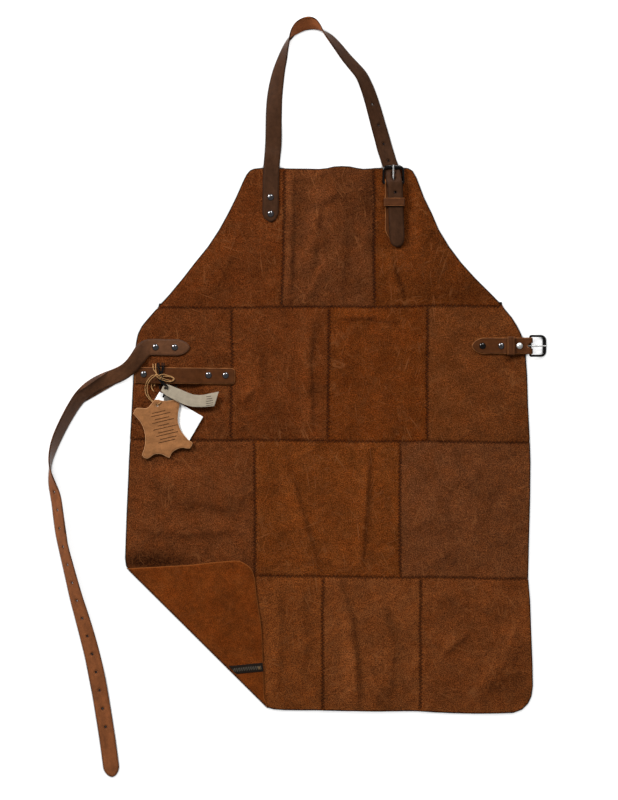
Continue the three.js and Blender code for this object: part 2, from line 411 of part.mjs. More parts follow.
// ---- the waist strap ------------------------------------------------------------------------
const WAIST_SPLIT = -221.0;
const waistRoot = ribbonFrame([[-160.7, 74.8, 2.8, 0], [-176.3, 74.9, 2.8, 0], [-198.8, 75.2, 2.8, 0], [WAIST_SPLIT - 3, 75.4, 2.8, 0]], CHAPE_W, STRAP_T);
add("waist_strap_anchor", geometryOf(keep(drill(ribbon(waistRoot, 0, waistRoot.length, CHAPE_W, STRAP_T, 5, [12, 0]), R.waist), 0, WAIST_SPLIT + 0.2, 1)), STRAP);
const waist = ribbonFrame([
  [WAIST_SPLIT + 5, 75.5, 2.8, 0], [WAIST_SPLIT, 75.5, 2.8, 0], [-225.8, 74.5, 2.9, 4], [-232.6, 68.8, 3.9, 16], [-239.3, 59.2, 5.6, 26], [-247.7, 48.4, 6, 30], [-258.4, 39.2, 3.8, 30], [-270.8, 32.8, 0.8, 28], [-288.8, 25.9, 0.2, 28],
  [-304.6, 18.1, 0.2, 31], [-315.8, 10.3, 0.2, 37], [-325.6, 0.7, 0.2, 43], [-333.8, -10.6, 0.2, 48], [-341.3, -23.0, 0.2, 51], [-348.8, -36.8, 0.2, 54], [-354.8, -48.8, 0.2, 56], [-360.1, -60.8, 0.2, 59],
  [-364.6, -72.8, 0.2, 65], [-368.3, -86.3, 0.2, 75], [-370.3, -98.3, 0.2, 85], [-370.4, -108.8, 0.2, 96], [-368.9, -120.8, 0.2, 110], [-366.2, -132.8, 0.2, 122], [-362.9, -144.8, 0.2, 130], [-360.2, -159.8, 0.2, 132],
  [-357.8, -180.8, 0.2, 131], [-354.5, -204.8, 0.2, 130], [-349.4, -228.8, 0.2, 130], [-343.4, -252.8, 0.2, 134], [-337.4, -276.8, 0.2, 139], [-330.8, -302.3, 0.2, 146], [-323.3, -327.8, 0.2, 154], [-314.9, -357.8, 0.2, 163],
  [-306.5, -390.8, 0.2, 171], [-299.3, -425.3, 0.2, 177], [-292.4, -465.8, 0.2, 180], [-284.9, -513.8, 0.2, 180], [-277.4, -569.8, 0.2, 180],
], STRAP_W, STRAP_T);
{
  let s = ribbon(waist, 0, waist.length, STRAP_W, STRAP_T, 84, [0, 13]);
  s = punch(s, waist, Array.from({ length: 13 }, (_, k) => waist.length - 77 - k * HOLE_PITCH), HOLE_R);
  add("waist_strap_free", geometryOf(keep(s, 0, WAIST_SPLIT - 0.2, -1)), STRAP);
}

// ---- the tool band --------------------------------------------------------------------------
{
  const arch = STRAP_ZC + 4.3; // slack, so that a loop is left under the band
  const c = [-244.4, -224.3, -218.3, -210.8, -182.3, -153.8, -146.3, -140.3, -93.2];
  const z = [STRAP_ZC, STRAP_ZC, STRAP_ZC + 2, arch, arch + 0.1, arch, STRAP_ZC + 2, STRAP_ZC, STRAP_ZC];
  const y0 = 33.5;
  const s = solid(profile(strip(c.map((x, i) => [x, z[i]]), STRAP_T), -12.4, 12.4).translate(0, y0, 0));
  const x0 = c[0] - 2, x1 = c[8];
  const out = plate([[x0, y0 - 12.4], [x1 - 4, y0 - 12.4], [x1 - 1.2, y0 - 11.2], [x1, y0 - 8.4], [x1, y0 + 8.4], [x1 - 1.2, y0 + 11.2], [x1 - 4, y0 + 12.4], [x0, y0 + 12.4]], -2, 30);
  add("tool_band", geometryOf(drill(s.intersect(solid(out)), R.band)), CHAPE);
}

// ---- rivets ---------------------------------------------------------------------------------
const onStrap = STRAP_Z0 + STRAP_T, onFold = STRAP_Z0 + 2 * STRAP_T + GAP;
rivet("neck_rivet_lower", ...R.neck[0], onStrap);
rivet("neck_rivet_upper", ...R.neck[1], onStrap);
rivet("neck_chape_rivet_tip", ...R.chape[0], onStrap);
rivet("neck_chape_rivet_fold", ...R.chape[1], onFold);
rivet("waist_rivet_inner", ...R.waist[0], onStrap);
rivet("waist_rivet_outer", ...R.waist[1], onStrap);
rivet("side_chape_rivet_tip", ...R.side[0], onStrap);
rivet("side_chape_rivet_mid", ...R.side[1], onStrap);
rivet("side_chape_rivet_fold", ...R.side[2], onFold);
rivet("band_rivet_left", ...R.band[0], onStrap);
rivet("band_rivet_mid", ...R.band[1], onStrap);
rivet("band_rivet_right", ...R.band[2], onStrap);

// ---- tags and their strings -------------------------------------------------------------------
const HIDE_HOLE = [-210.4, -11.8], LABEL_HOLE = [-198.2, 13.9], CARD_HOLE = [-200.9, 1.3];
const CARD_Z = 3.5, HIDE_Z = 5.6, LABEL_Z = 9.8;
add("hide_tag", geometryOf(drill(solid(plate([
  [-214.3, -3.7], [-209.9, -3.1], [-204.8, -4.7], [-196.6, -5.2], [-187.6, -3.7], [-181.9, -5.0], [-176.5, -8.3], [-179.0, -22.0], [-179.5, -32.3], [-178.1, -41.9], [-173.8, -51.4], [-163.4, -63.8],
  [-156.7, -67.7], [-161.3, -76.7], [-169.6, -75.4], [-177.2, -76.3], [-184.1, -79.7], [-189.4, -85.0], [-191.9, -90.5], [-201.4, -85.7], [-208.3, -84.5], [-215.2, -85.7], [-225.5, -92.2], [-232.9, -86.6],
  [-230.6, -78.8], [-228.5, -70.3], [-228.1, -60.8], [-229.4, -51.4], [-232.4, -42.7], [-237.5, -34.1], [-246.2, -24.7], [-245.3, -22.0], [-241.0, -15.5], [-229.7, -16.4], [-224.6, -15.2], [-220.3, -10.9], [-216.8, -6.5],
], HIDE_Z, HIDE_Z + 1.6)), [HIDE_HOLE], 0, 20, 2.2)), HIDE);
add("price_card", geometryOf(drill(solid(plate([[-206.9, 8.9], [-141.5, -28.9], [-166.3, -71.8], [-231.7, -34.0]], CARD_Z, CARD_Z + 0.5)), [CARD_HOLE], 0, 20, 1.6)), PAPER);
add("fabric_label", geometryOf(drill(solid(plate([
  [-199.7, 21.1], [-191.0, 18.4], [-178.1, 13.3], [-165.2, 7.7], [-156.7, 4.6], [-148.0, 3.4], [-139.4, 4.3], [-128.3, 6.7], [-117.8, 8.8],
  [-124.7, -13.0], [-130.7, -13.6], [-143.6, -14.3], [-156.7, -13.9], [-165.2, -12.1], [-175.6, -8.3], [-186.8, -2.2], [-195.4, 2.0], [-204.8, 9.8],
].reverse(), LABEL_Z, LABEL_Z + 0.5)), [LABEL_HOLE], 0, 20, 1.9)), LABEL);

function tube(points, diameter, steps) {
  const curve = new THREE.CatmullRomCurve3(points.map((p) => new THREE.Vector3(...p)), false, "centripetal");
  const shape = new THREE.Shape(Array.from({ length: 8 }, (_, k) => new THREE.Vector2((diameter / 2) * Math.cos((k / 8) * 2 * Math.PI), (diameter / 2) * Math.sin((k / 8) * 2 * Math.PI))));
  const g = new THREE.ExtrudeGeometry(shape, { extrudePath: curve, steps, bevelEnabled: false });
  let s = solid(g);
  if (s.volume() < 0) s = solid(flip(g));
  return geometryOf(s);
}
// Jute twine: through the hide tag's hole, round to the knot on the band, a bow loop, then round the band.
const JUTE_D = 1.2;
const JUTE_ROUTE = [
  [-204.5, -6.8, 8], [-207.2, -9.1, 8.1], [-210.1, -11.6, 7.6], [-210.4, -11.8, 6.4], [-210.8, -11.6, 5.2], [-212.9, -10.1, 4.75], [-217.4, -6.5, 4.8], [-222.8, -1.7, 4.8], [-227.0, 4.9, 4.8], [-228.5, 12.7, 5], [-226.7, 20.8, 8.6],
  [-222.2, 28.6, 10.4], [-216.5, 33.1, 10.9], [-209.9, 33.1, 11.2], [-202.4, 31.6, 12.6], [-193.7, 31.3, 11.4], [-185.9, 28.9, 11.2], [-187.7, 24.7, 11.2], [-194.3, 26.2, 11.4], [-201.8, 28.6, 12.9], [-206.3, 30.4, 13.2], [-209.9, 33.4, 13],
  [-211.9, 39.7, 11.4], [-212.5, 46.0, 10.6], [-212.6, 50.3, 7.2], [-212.8, 46.3, 4.2], [-213.1, 33.7, 4], [-213.5, 20.8, 4.4], [-214.7, 16.9, 6.4],
];
add("jute_twine", tube(JUTE_ROUTE, JUTE_D, 78), JUTE);
// Black string: round the band, then a hook through the label and down to the card.
const BLACK_D = 1.6;
const BLACK_ROUTE = [
  [-203.9, 16.4, 4.3], [-203.3, 26.2, 4.1], [-203.0, 38.2, 4], [-202.9, 46.6, 4.3], [-202.7, 51.4, 7.4], [-202.7, 46.6, 10.4], [-202.7, 38.2, 10.7], [-202.4, 27.7, 10.8], [-200.3, 21.7, 11.4], [-196.4, 18.7, 12], [-194.3, 15.7, 12],
  [-195.5, 13.3, 11.8], [-197.9, 13.9, 10.9], [-198.4, 13.7, 9.4], [-199.4, 8.5, 7.2], [-200.6, 3.1, 5.6], [-200.9, 1.3, 4.4], [-200.9, 1.3, 3.2],
];
add("black_string", tube(BLACK_ROUTE, BLACK_D, 56), BLACK);

export default group;
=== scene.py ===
import math

import bpy
import numpy as np
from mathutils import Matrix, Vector
from mathutils.geometry import delaunay_2d_cdt


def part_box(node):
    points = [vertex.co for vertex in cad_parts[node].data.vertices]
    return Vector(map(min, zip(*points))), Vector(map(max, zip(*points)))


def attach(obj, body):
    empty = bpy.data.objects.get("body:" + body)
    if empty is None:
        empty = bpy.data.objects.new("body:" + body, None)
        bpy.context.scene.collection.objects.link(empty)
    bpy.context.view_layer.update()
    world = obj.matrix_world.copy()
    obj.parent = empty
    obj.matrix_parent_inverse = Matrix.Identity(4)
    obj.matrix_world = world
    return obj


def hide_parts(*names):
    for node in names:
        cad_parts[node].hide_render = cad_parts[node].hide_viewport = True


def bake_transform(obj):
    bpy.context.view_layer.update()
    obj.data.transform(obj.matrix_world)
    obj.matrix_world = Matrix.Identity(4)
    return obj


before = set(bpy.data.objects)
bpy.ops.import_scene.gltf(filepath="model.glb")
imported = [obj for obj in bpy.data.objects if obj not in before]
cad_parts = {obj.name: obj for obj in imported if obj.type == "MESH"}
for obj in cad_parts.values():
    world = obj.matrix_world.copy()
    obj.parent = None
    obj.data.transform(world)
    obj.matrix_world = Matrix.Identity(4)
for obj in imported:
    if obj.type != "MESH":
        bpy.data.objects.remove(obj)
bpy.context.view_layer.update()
MM = 0.001
scene = bpy.context.scene

# ------------------------------------------------------------------ camera, light, floor
# Straight down onto the flat-laid apron, with a long lens.
DIST, HIGH = 6.0, 1.2
cam = bpy.data.cameras.new("camera")
cam.type = "PERSP"
cam.sensor_width = 36.0
cam.lens = 36.0 * DIST / HIGH
cam.clip_end = 60.0
camera = bpy.data.objects.new("camera", cam)
camera.location = (17.2 * MM, -3.8 * MM, DIST)
scene.collection.objects.link(camera)
scene.camera = camera
scene.view_settings.view_transform = "Standard"
scene.view_settings.look = "None"
scene.view_settings.exposure = 0.0
scene.view_settings.gamma = 1.0

world = bpy.data.worlds.new("studio")
scene.world = world
world.use_nodes = True
world.node_tree.nodes["Background"].inputs[0].default_value = (1.0, 1.0, 1.0, 1.0)
world.node_tree.nodes["Background"].inputs[1].default_value = 0.25


def area_light(name, where, target, size, power, colour=(1, 1, 1)):
    lamp = bpy.data.lights.new(name, "AREA")
    lamp.shape = "RECTANGLE"
    lamp.size, lamp.size_y = size
    lamp.energy = power
    lamp.color = colour
    o = bpy.data.objects.new(name, lamp)
    o.location = where
    o.rotation_euler = (Vector(target) - Vector(where)).to_track_quat("-Z", "Y").to_euler()
    scene.collection.objects.link(o)
    return o


area_light("key", (-2.0, 1.8, 1.9), (0, 0, 0), (1.0, 1.0), 112, (1.0, 0.99, 0.975))
area_light("fill", (0.7, 2.3, 2.0), (0, 0, 0), (1.2, 0.8), 48, (0.98, 0.99, 1.0))


# ------------------------------------------------------------------ node helpers
class Nodes:
    """A principled material with short calls for its texture nodes. Colours are linear."""

    def __init__(self, name):
        self.m = bpy.data.materials.new(name)
        self.m.use_nodes = True
        self.t = self.m.node_tree
        self.bsdf = self.t.nodes["Principled BSDF"]

    def new(self, kind, **values):
        n = self.t.nodes.new(kind)
        for k, v in values.items():
            setattr(n, k, v)
        return n

    def put(self, socket, value):
        if isinstance(value, bpy.types.NodeSocket):
            self.t.links.new(value, socket)
        else:
            socket.default_value = value

    def math(self, op, a, b=0.0, c=None, clamp=False):
        n = self.new("ShaderNodeMath", operation=op, use_clamp=clamp)
        self.put(n.inputs[0], a)
        self.put(n.inputs[1], b)
        if c is not None:
            self.put(n.inputs[2], c)
        return n.outputs[0]

    def span(self, v, a, b, lo=0.0, hi=1.0, smooth=False):
        n = self.new("ShaderNodeMapRange", clamp=True)
        if smooth:
            n.interpolation_type = "SMOOTHSTEP"
        self.put(n.inputs["Value"], v)
        for k, x in zip(("From Min", "From Max", "To Min", "To Max"), (a, b, lo, hi)):
            n.inputs[k].default_value = x
        return n.outputs[0]

    def uv(self):
        return self.new("ShaderNodeUVMap", uv_map="flat").outputs[0]

    def obj(self):
        return self.new("ShaderNodeTexCoord").outputs["Object"]

    def attr(self, name, colour=False):
        n = self.new("ShaderNodeAttribute", attribute_name=name)
        return n.outputs["Color" if colour else "Fac"]

    def mapped(self, vec, scale=(1, 1, 1), turn=0.0, move=(0, 0, 0)):
        if turn:
            r = self.new("ShaderNodeMapping")
            self.put(r.inputs["Vector"], vec)
            r.inputs["Rotation"].default_value = (0, 0, turn)
            vec = r.outputs[0]
        n = self.new("ShaderNodeMapping")
        self.put(n.inputs["Vector"], vec)
        n.inputs["Scale"].default_value = scale
        n.inputs["Location"].default_value = move
        return n.outputs[0]

    def noise(self, vec, scale, detail=3.0, rough=0.55, bend=0.0, colour=False):
        n = self.new("ShaderNodeTexNoise")
        self.put(n.inputs["Vector"], vec)
        n.inputs["Scale"].default_value = scale
        n.inputs["Detail"].default_value = detail
        n.inputs["Roughness"].default_value = rough
        n.inputs["Distortion"].default_value = bend
        return n.outputs["Color" if colour else 0]

    def voronoi(self, vec, scale, feature="F1", jitter=1.0):
        n = self.new("ShaderNodeTexVoronoi", feature=feature)
        self.put(n.inputs["Vector"], vec)
        n.inputs["Scale"].default_value = scale
        n.inputs["Randomness"].default_value = jitter
        return n.outputs["Distance"]

    def mix(self, f, a, b, kind="MIX"):
        n = self.new("ShaderNodeMix", data_type="RGBA", blend_type=kind)
        self.put(n.inputs[0], f)
        self.put(n.inputs[6], a if isinstance(a, bpy.types.NodeSocket) else (*a, 1.0))
        self.put(n.inputs[7], b if isinstance(b, bpy.types.NodeSocket) else (*b, 1.0))
        return n.outputs[2]

    def scale(self, colour, f):
        n = self.new("ShaderNodeVectorMath", operation="SCALE")
        self.put(n.inputs[0], colour)
        self.put(n.inputs["Scale"], f)
        return n.outputs[0]

    def bump(self, height, distance, strength=1.0, under=None):
        n = self.new("ShaderNodeBump")
        n.inputs["Strength"].default_value = strength
        n.inputs["Distance"].default_value = distance
        self.put(n.inputs["Height"], height)
        if under is not None:
            self.put(n.inputs["Normal"], under)
        return n.outputs[0]

    def done(self, colour=None, rough=None, normal=None, metal=0.0, spec=0.5, sheen=0.0):
        b = self.bsdf
        if colour is not None:
            self.put(b.inputs["Base Color"], colour if isinstance(colour, bpy.types.NodeSocket) else (*colour, 1.0))
        if rough is not None:
            self.put(b.inputs["Roughness"], rough)
        if normal is not None:
            self.put(b.inputs["Normal"], normal)
        b.inputs["Metallic"].default_value = metal
        b.inputs["Specular IOR Level"].default_value = spec
        if sheen:
            b.inputs["Sheen Weight"].default_value = sheen
            b.inputs["Sheen Roughness"].default_value = 0.5
        return self.m


def lin(r, g, b):
    """A display colour, 0 to 255, as a linear one."""
    return tuple(((c / 255 + 0.055) / 1.055) ** 2.4 if c > 10 else c / 255 / 12.92 for c in (r, g, b))


LIGHT = 1.17  # how much brighter than its base colour a flat matt surface renders


def tone(r, g, b, k=1.0):
    return tuple(c * k / LIGHT for c in lin(r, g, b))


# ------------------------------------------------------------------ materials
def suede(name, back=False):
    n = Nodes(name)
    uv = n.uv()
    base = n.attr("tint", True)
    if not back:
        # the flesh side underneath has the colour that the turned corner shows
        under = tone(112, 55, 18)
        base = n.mix(n.span(n.attr("side"), 0.4, 0.6), under, base)

    def layer(scale, move, low, high, detail=5, bend=0.0):
        return n.span(n.noise(n.mapped(uv, move=(move, move * 0.7, 0)), scale, detail, 0.62, bend), 0.36, 0.64, low, high)

    big = layer(22, 0, 0.825, 1.135, 5, 0.5)
    mid = layer(105, 3, 0.82, 1.18, 5, 0.4)
    soft = 0.55 if back else 1.0
    small = layer(330, 6, 1 - 0.24 * soft, 1 + 0.24 * soft, 4)
    fine = layer(760, 9, 0.94 - 0.86 * soft, 0.94 + 0.86 * soft, 3)
    f = n.math("MULTIPLY", n.math("MULTIPLY", big, mid), n.math("MULTIPLY", small, fine))
    colour = n.scale(base, f)
    # the dye drifts between orange and olive
    drift = n.span(n.noise(n.mapped(uv, move=(9, 2, 0)), 48, 4, 0.6), 0.40, 0.62)
    colour = n.mix(n.math("MULTIPLY", drift, 0.5), colour, n.mix(1.0, colour, (1.12, 0.90, 0.60), "MULTIPLY"))
    # fine creases of the hide, as thin curving lines
    marks = None
    for k, (size, move, thin) in enumerate(((9, 2.0, 0.0085), (17, 5.0, 0.011), (34, 8.0, 0.016), (26, 13.0, 0.012))):
        v = n.noise(n.mapped(uv, (1.0, 1.0 if k % 2 else 0.45, 1), 0.5 + 1.3 * k, (move, move, 0)), size, 3, 0.55, 0.9)
        line = n.span(n.math("ABSOLUTE", n.math("SUBTRACT", v, 0.5)), 0.0, thin, 1.0, 0.0)
        where = n.span(n.noise(n.mapped(uv, move=(move, 3, 0)), 24, 3, 0.6), 0.54, 0.66)
        c = n.math("MULTIPLY", line, where)
        marks = c if marks is None else n.math("MAXIMUM", marks, c)
    # straight scuffs and scratches in several directions
    for turn, move, low in ((0.35, 2.0, 0.63), (1.9, 5.0, 0.625), (2.75, 8.0, 0.63), (1.15, 11.0, 0.625), (1.45, 17.0, 0.62), (0.9, 23.0, 0.63)):
        line = n.noise(n.mapped(uv, (13, 420, 1), turn, (move, move, 0)), 1.0, 2, 0.5, 0.25)
        where = n.span(n.noise(n.mapped(uv, move=(move, 0, 0)), 26, 3, 0.6), 0.52, 0.62)
        c = n.math("MULTIPLY", n.span(line, low, low + 0.06), where)
        marks = n.math("MAXIMUM", marks, c)
    colour = n.mix(n.math("MULTIPLY", marks, 0.50 if not back else 0.08), colour, tone(146, 90, 50))
    # short raised fibres lying every way
    hairs = None
    for turn, move in ((0.6, 31.0), (2.2, 37.0), (1.35, 43.0), (2.9, 47.0)):
        line = n.span(n.noise(n.mapped(uv, (170, 1300, 1), turn, (move, move, 0)), 1.0, 2, 0.5, 0.2), 0.585, 0.66)
        hairs = line if hairs is None else n.math("MAXIMUM", hairs, line)
    colour = n.mix(n.math("MULTIPLY", hairs, 0.30 if not back else 0.16), colour, tone(140, 78, 38))
    # rubbed lighter patches
    rub = n.span(n.noise(n.mapped(uv, move=(4, 4, 0)), 60, 8, 0.74, 0.6), 0.53, 0.66)
    colour = n.mix(n.math("MULTIPLY", rub, 0.26 if not back else 0.12), colour, tone(128, 78, 42))
    # burnished dark along the seams, uneven
    d = n.math("ADD", n.attr("seam"), n.span(n.noise(uv, 190, 4, 0.6), 0.35, 0.65, -1.2, 1.2))
    near = n.span(d, 0.2, 4.6, 1.0, 0.0, True)
    colour = n.mix(n.math("MULTIPLY", near, 0.36), colour, n.mix(1.0, colour, (0.46, 0.34, 0.22), "MULTIPLY"))
    # along the cut edge: on the front a dark line, partly the dark cut edge and partly painted shade of the outline; on
    # the turned corner a lighter line, a painted highlight
    rim = n.span(n.attr("inset"), 0.2, 1.5, 1.0, 0.0)
    if back:
        colour = n.mix(n.math("MULTIPLY", rim, 0.62), colour, tone(156, 92, 44))
    else:
        free = n.span(n.attr("seam"), 1.2, 3.2, 0.16, 1.0)
        rim = n.math("MAXIMUM", n.attr("rim"), n.span(n.attr("inset"), 0.5, 2.1, 1.0, 0.0))
        colour = n.mix(n.math("MULTIPLY", rim, free), colour, tone(14, 7, 3))
    hair = n.noise(n.mapped(uv, move=(2, 2, 0)), 1500, 3, 0.7)
    fold = n.math("ABSOLUTE", n.math("SUBTRACT", n.noise(n.mapped(uv, move=(21, 3, 0)), 15, 4, 0.5, 0.8), 0.5))
    fold = n.span(fold, 0.0, 0.10, 1.0, 0.0)
    height = n.math("ADD", n.math("ADD", n.math("MULTIPLY", mid, 1.5), n.math("MULTIPLY", fold, 1.3 if not back else 0.4)), n.math("ADD", n.math("MULTIPLY", small, 0.7), n.math("ADD", n.math("MULTIPLY", fine, 0.35), n.math("MULTIPLY", hair, 0.35))))
    height = n.math("ADD", n.math("SUBTRACT", height, n.math("MULTIPLY", near, 0.7)), n.math("MULTIPLY", marks, 0.25))
    normal = n.bump(height, 0.0008, 0.9)
    return n.done(colour, n.span(fine, 0.7, 1.3, 0.98, 0.84), normal, spec=0.03)


def strap_leather(name, grain, flesh, edge, rough=0.5, gloss=0.35, shaded=False):
    n = Nodes(name)
    uv = n.uv()
    side = n.attr("side")
    long = n.noise(n.mapped(uv, (30, 90, 1)), 1.0, 5, 0.6)
    mid = n.noise(n.mapped(uv, move=(5, 0, 0)), 160, 5, 0.6, 0.3)
    pores = n.voronoi(n.mapped(uv, (1, 1.2, 1)), 1500)
    fine = n.noise(n.mapped(uv, move=(1, 3, 0)), 900, 3, 0.6)
    f = n.math("MULTIPLY", n.span(long, 0.3, 0.7, 0.80, 1.21), n.span(mid, 0.3, 0.7, 0.84, 1.17))
    f = n.math("MULTIPLY", f, n.span(fine, 0.3, 0.7, 0.84, 1.16))
    top = n.scale(n.mix(0.0, grain, grain), f)
    fibre = n.span(n.noise(n.mapped(uv, (500, 900, 1)), 1.0, 4, 0.7), 0.3, 0.7, 0.84, 1.15)
    low = n.scale(n.scale(n.mix(0.0, flesh, flesh), fibre), f)
    colour = n.mix(n.span(side, 0.4, 0.6), low, top)
    # painted light and shade: the shade attribute brightens a strap where it is painted as catching light and darkens
    # it where painted as in shade
    if shaded:
        colour = n.scale(colour, n.attr("shade"))
    # a faint darker line creased beside each edge, and the cut edge itself in the edge colour
    inset = n.attr("inset")
    crease = n.math("MULTIPLY", n.span(inset, 1.1, 1.5), n.span(inset, 1.9, 2.3, 1.0, 0.0))
    colour = n.mix(n.math("MULTIPLY", crease, 0.42), colour, n.mix(1.0, colour, (0.45, 0.42, 0.4), "MULTIPLY"))
    rim = n.math("MAXIMUM", n.attr("rim"), n.span(inset, 0.55, 1.25, 1.0, 0.0))
    rim = n.math("MULTIPLY", rim, n.span(n.noise(n.mapped(uv, (90, 260, 1)), 1.0, 4, 0.6), 0.36, 0.6, 0.25, 0.95))
    colour = n.mix(rim, colour, edge)
    height = n.math("ADD", n.math("MULTIPLY", pores, 0.6), n.math("MULTIPLY", fine, 0.5))
    height = n.math("SUBTRACT", height, n.math("MULTIPLY", crease, 1.2))
    normal = n.bump(height, 0.00018, 0.7)
    r = n.math("ADD", n.span(mid, 0.3, 0.7, rough - 0.06, rough + 0.08), n.span(side, 0.4, 0.6, 0.32, 0.0))
    return n.done(colour, r, normal, spec=gloss)


def metal(name, colour, rough, grime=0.5):
    n = Nodes(name)
    o = n.obj()
    a = n.noise(o, 900, 4, 0.6)
    b = n.noise(n.mapped(o, (1, 1, 3)), 240, 3, 0.6)
    c = n.mix(n.math("MULTIPLY", n.span(b, 0.45, 0.7), grime), colour, tuple(x * 0.45 for x in colour))
    normal = n.bump(n.noise(o, 2600, 2, 0.5), 0.00003, 0.5)
    return n.done(c, n.span(a, 0.3, 0.7, rough * 0.7, rough * 1.5), normal, metal=1.0, spec=0.5)


def woven(name, colour, dark, pitch=1400.0, rough=0.9, use_uv=True):
    n = Nodes(name)
    uv = n.uv()
    x = n.new("ShaderNodeTexWave", wave_type="BANDS", bands_direction="X")
    y = n.new("ShaderNodeTexWave", wave_type="BANDS", bands_direction="Y")
    for w in (x, y):
        n.put(w.inputs["Vector"], uv)
        w.inputs["Scale"].default_value = pitch / 6.28
        w.inputs["Distortion"].default_value = 0.6
        w.inputs["Detail"].default_value = 1.0
    weave = n.math("MULTIPLY", x.outputs["Fac"], y.outputs["Fac"])
    blot = n.noise(uv, 120, 4, 0.6)
    c = n.mix(n.span(weave, 0.0, 0.8), dark, colour)
    c = n.scale(c, n.span(blot, 0.3, 0.7, 0.88, 1.12))
    normal = n.bump(weave, 0.0002, 0.8)
    return n.done(c, rough, normal, spec=0.05)


def fibre(name, colour, dark, rough=0.85, spec=0.05):
    n = Nodes(name)
    uv = n.uv()
    a = n.noise(n.mapped(uv, (700, 3000, 1)), 1.0, 4, 0.7)
    b = n.noise(n.mapped(uv, (160, 300, 1), move=(3, 0, 0)), 1.0, 3, 0.6)
    c = n.mix(n.span(a, 0.3, 0.7), dark, colour)
    c = n.scale(c, n.span(b, 0.3, 0.7, 0.8, 1.2))
    return n.done(c, rough, n.bump(a, 0.0002, 0.7), spec=spec)


SUEDE = suede("suede_front")
SUEDE_BACK = suede("suede_back", True)
# the neck strap's edge colour is painted dark, a painted shade along its outline
NECK_L = strap_leather("neck_strap_leather", tone(64, 40, 25), tone(124, 71, 39), tone(34, 20, 12), 0.48, 0.05, True)
WAIST_L = strap_leather("waist_strap_leather", tone(93, 59, 37), tone(131, 76, 41), tone(60, 35, 19), 0.40, 0.13, True)
CHAPE_L = strap_leather("chape_leather", tone(80, 44, 20), tone(108, 62, 34), tone(150, 94, 51), 0.48, 0.06)
KEEPER_L = strap_leather("keeper_leather", tone(82, 47, 25), tone(108, 62, 34), tone(140, 86, 48), 0.5, 0.06)
HIDE_L = strap_leather("hide_tag_leather", tone(153, 103, 63), tone(146, 100, 64), tone(186, 138, 96), 0.68, 0.08)
GUN = metal("dark_nickel", (0.03, 0.028, 0.027), 0.17)
STEEL = metal("prong_steel", (0.72, 0.71, 0.69), 0.36, 0.3)
NICKEL = metal("rivet_nickel", (0.15, 0.145, 0.15), 0.16, 0.3)
# copies of the rivet nickel: one painted darker, a painted shade, one painted paler, a painted reflection
NICKEL_PAINTED_DARK = metal("rivet_nickel_painted_dark", (0.035, 0.033, 0.032), 0.14, 0.4)
NICKEL_PAINTED_BRIGHT = metal("rivet_nickel_painted_bright", (0.80, 0.79, 0.77), 0.42, 0.2)
TAPE = woven("seam_tape", tone(52, 42, 34), tone(26, 20, 17), 1600)
LABEL = woven("label_cloth", tone(186, 173, 152), tone(166, 153, 133), 2600)
GREY_TAG = woven("grey_slip", tone(132, 126, 116), tone(112, 106, 98), 2600)
CARD = Nodes("card_paper")
CARD = CARD.done(
    CARD.scale(CARD.mix(0.0, (0.93, 0.93, 0.92), (0.93, 0.93, 0.92)), CARD.span(CARD.noise(CARD.uv(), 900, 4, 0.6), 0.3, 0.7, 0.97, 1.03)),
    0.6,
    CARD.bump(CARD.noise(CARD.uv(), 2500, 3, 0.6), 0.00005, 0.5),
    spec=0.3,
)
THREAD = fibre("seam_thread", tone(46, 24, 9), tone(22, 11, 4))
GREY_THREAD = fibre("tape_thread", tone(120, 112, 100), tone(66, 60, 54))
TAN_THREAD = fibre("backstitch_thread", tone(150, 118, 74), tone(90, 66, 40))
JUTE = fibre("jute_fibre", tone(205, 160, 108), tone(140, 96, 54))
STRING = fibre("black_string_fibre", tone(26, 22, 20), tone(9, 8, 8), 0.7, 0.1)
INK = fibre("ruled_print", tone(80, 48, 28), tone(62, 36, 20))
INK_GREY = fibre("label_print", tone(86, 78, 68), tone(70, 64, 56))


# ------------------------------------------------------------------ mesh helpers (millimetres in, metres out)
def densify(poly, step):
    out = []
    n = len(poly)
    for i in range(n):
        a, b = np.array(poly[i], float), np.array(poly[(i + 1) % n], float)
        k = max(1, int(round(np.linalg.norm(b - a) / step)))
        out += [a + (b - a) * j / k for j in range(k)]
    return np.array(out)


def rounded(poly, r, steps=5, which=None):
    """The polygon with its corners rounded."""
    out, n = [], len(poly)
    for i in range(n):
        p, a, b = (np.array(poly[j % n], float) for j in (i, i - 1, i + 1))
        if which is not None and i not in which:
            out.append(p)
            continue
        da, db = a - p, b - p
        la, lb = np.linalg.norm(da), np.linalg.norm(db)
        q = min(r, la * 0.48, lb * 0.48)
        s, e = p + da / la * q, p + db / lb * q
        for k in range(steps + 1):
            t = k / steps
            out.append((1 - t) ** 2 * s + 2 * t * (1 - t) * p + t * t * e)
    return np.array(out)


def smooth_closed(poly, per=4):
    """A smooth closed curve through the points."""
    p = np.array(poly, float)
    n = len(p)
    out = []
    for i in range(n):
        a, b, c, d = p[i - 1], p[i], p[(i + 1) % n], p[(i + 2) % n]
        for k in range(per):
            t = k / per
            out.append(0.5 * (2 * b + (c - a) * t + (2 * a - 5 * b + 4 * c - d) * t * t + (3 * b - a - 3 * c + d) * t ** 3))
    return np.array(out)


def is_inside(poly, pts):
    x, y = pts[:, 0], pts[:, 1]
    res = np.zeros(len(pts), bool)
    n = len(poly)
    for i in range(n):
        (x1, y1), (x2, y2) = poly[i], poly[(i + 1) % n]
        if y1 == y2:
            continue
        hit = ((y1 > y) != (y2 > y)) & (x < (x2 - x1) * (y - y1) / (y2 - y1) + x1)
        res ^= hit
    return res


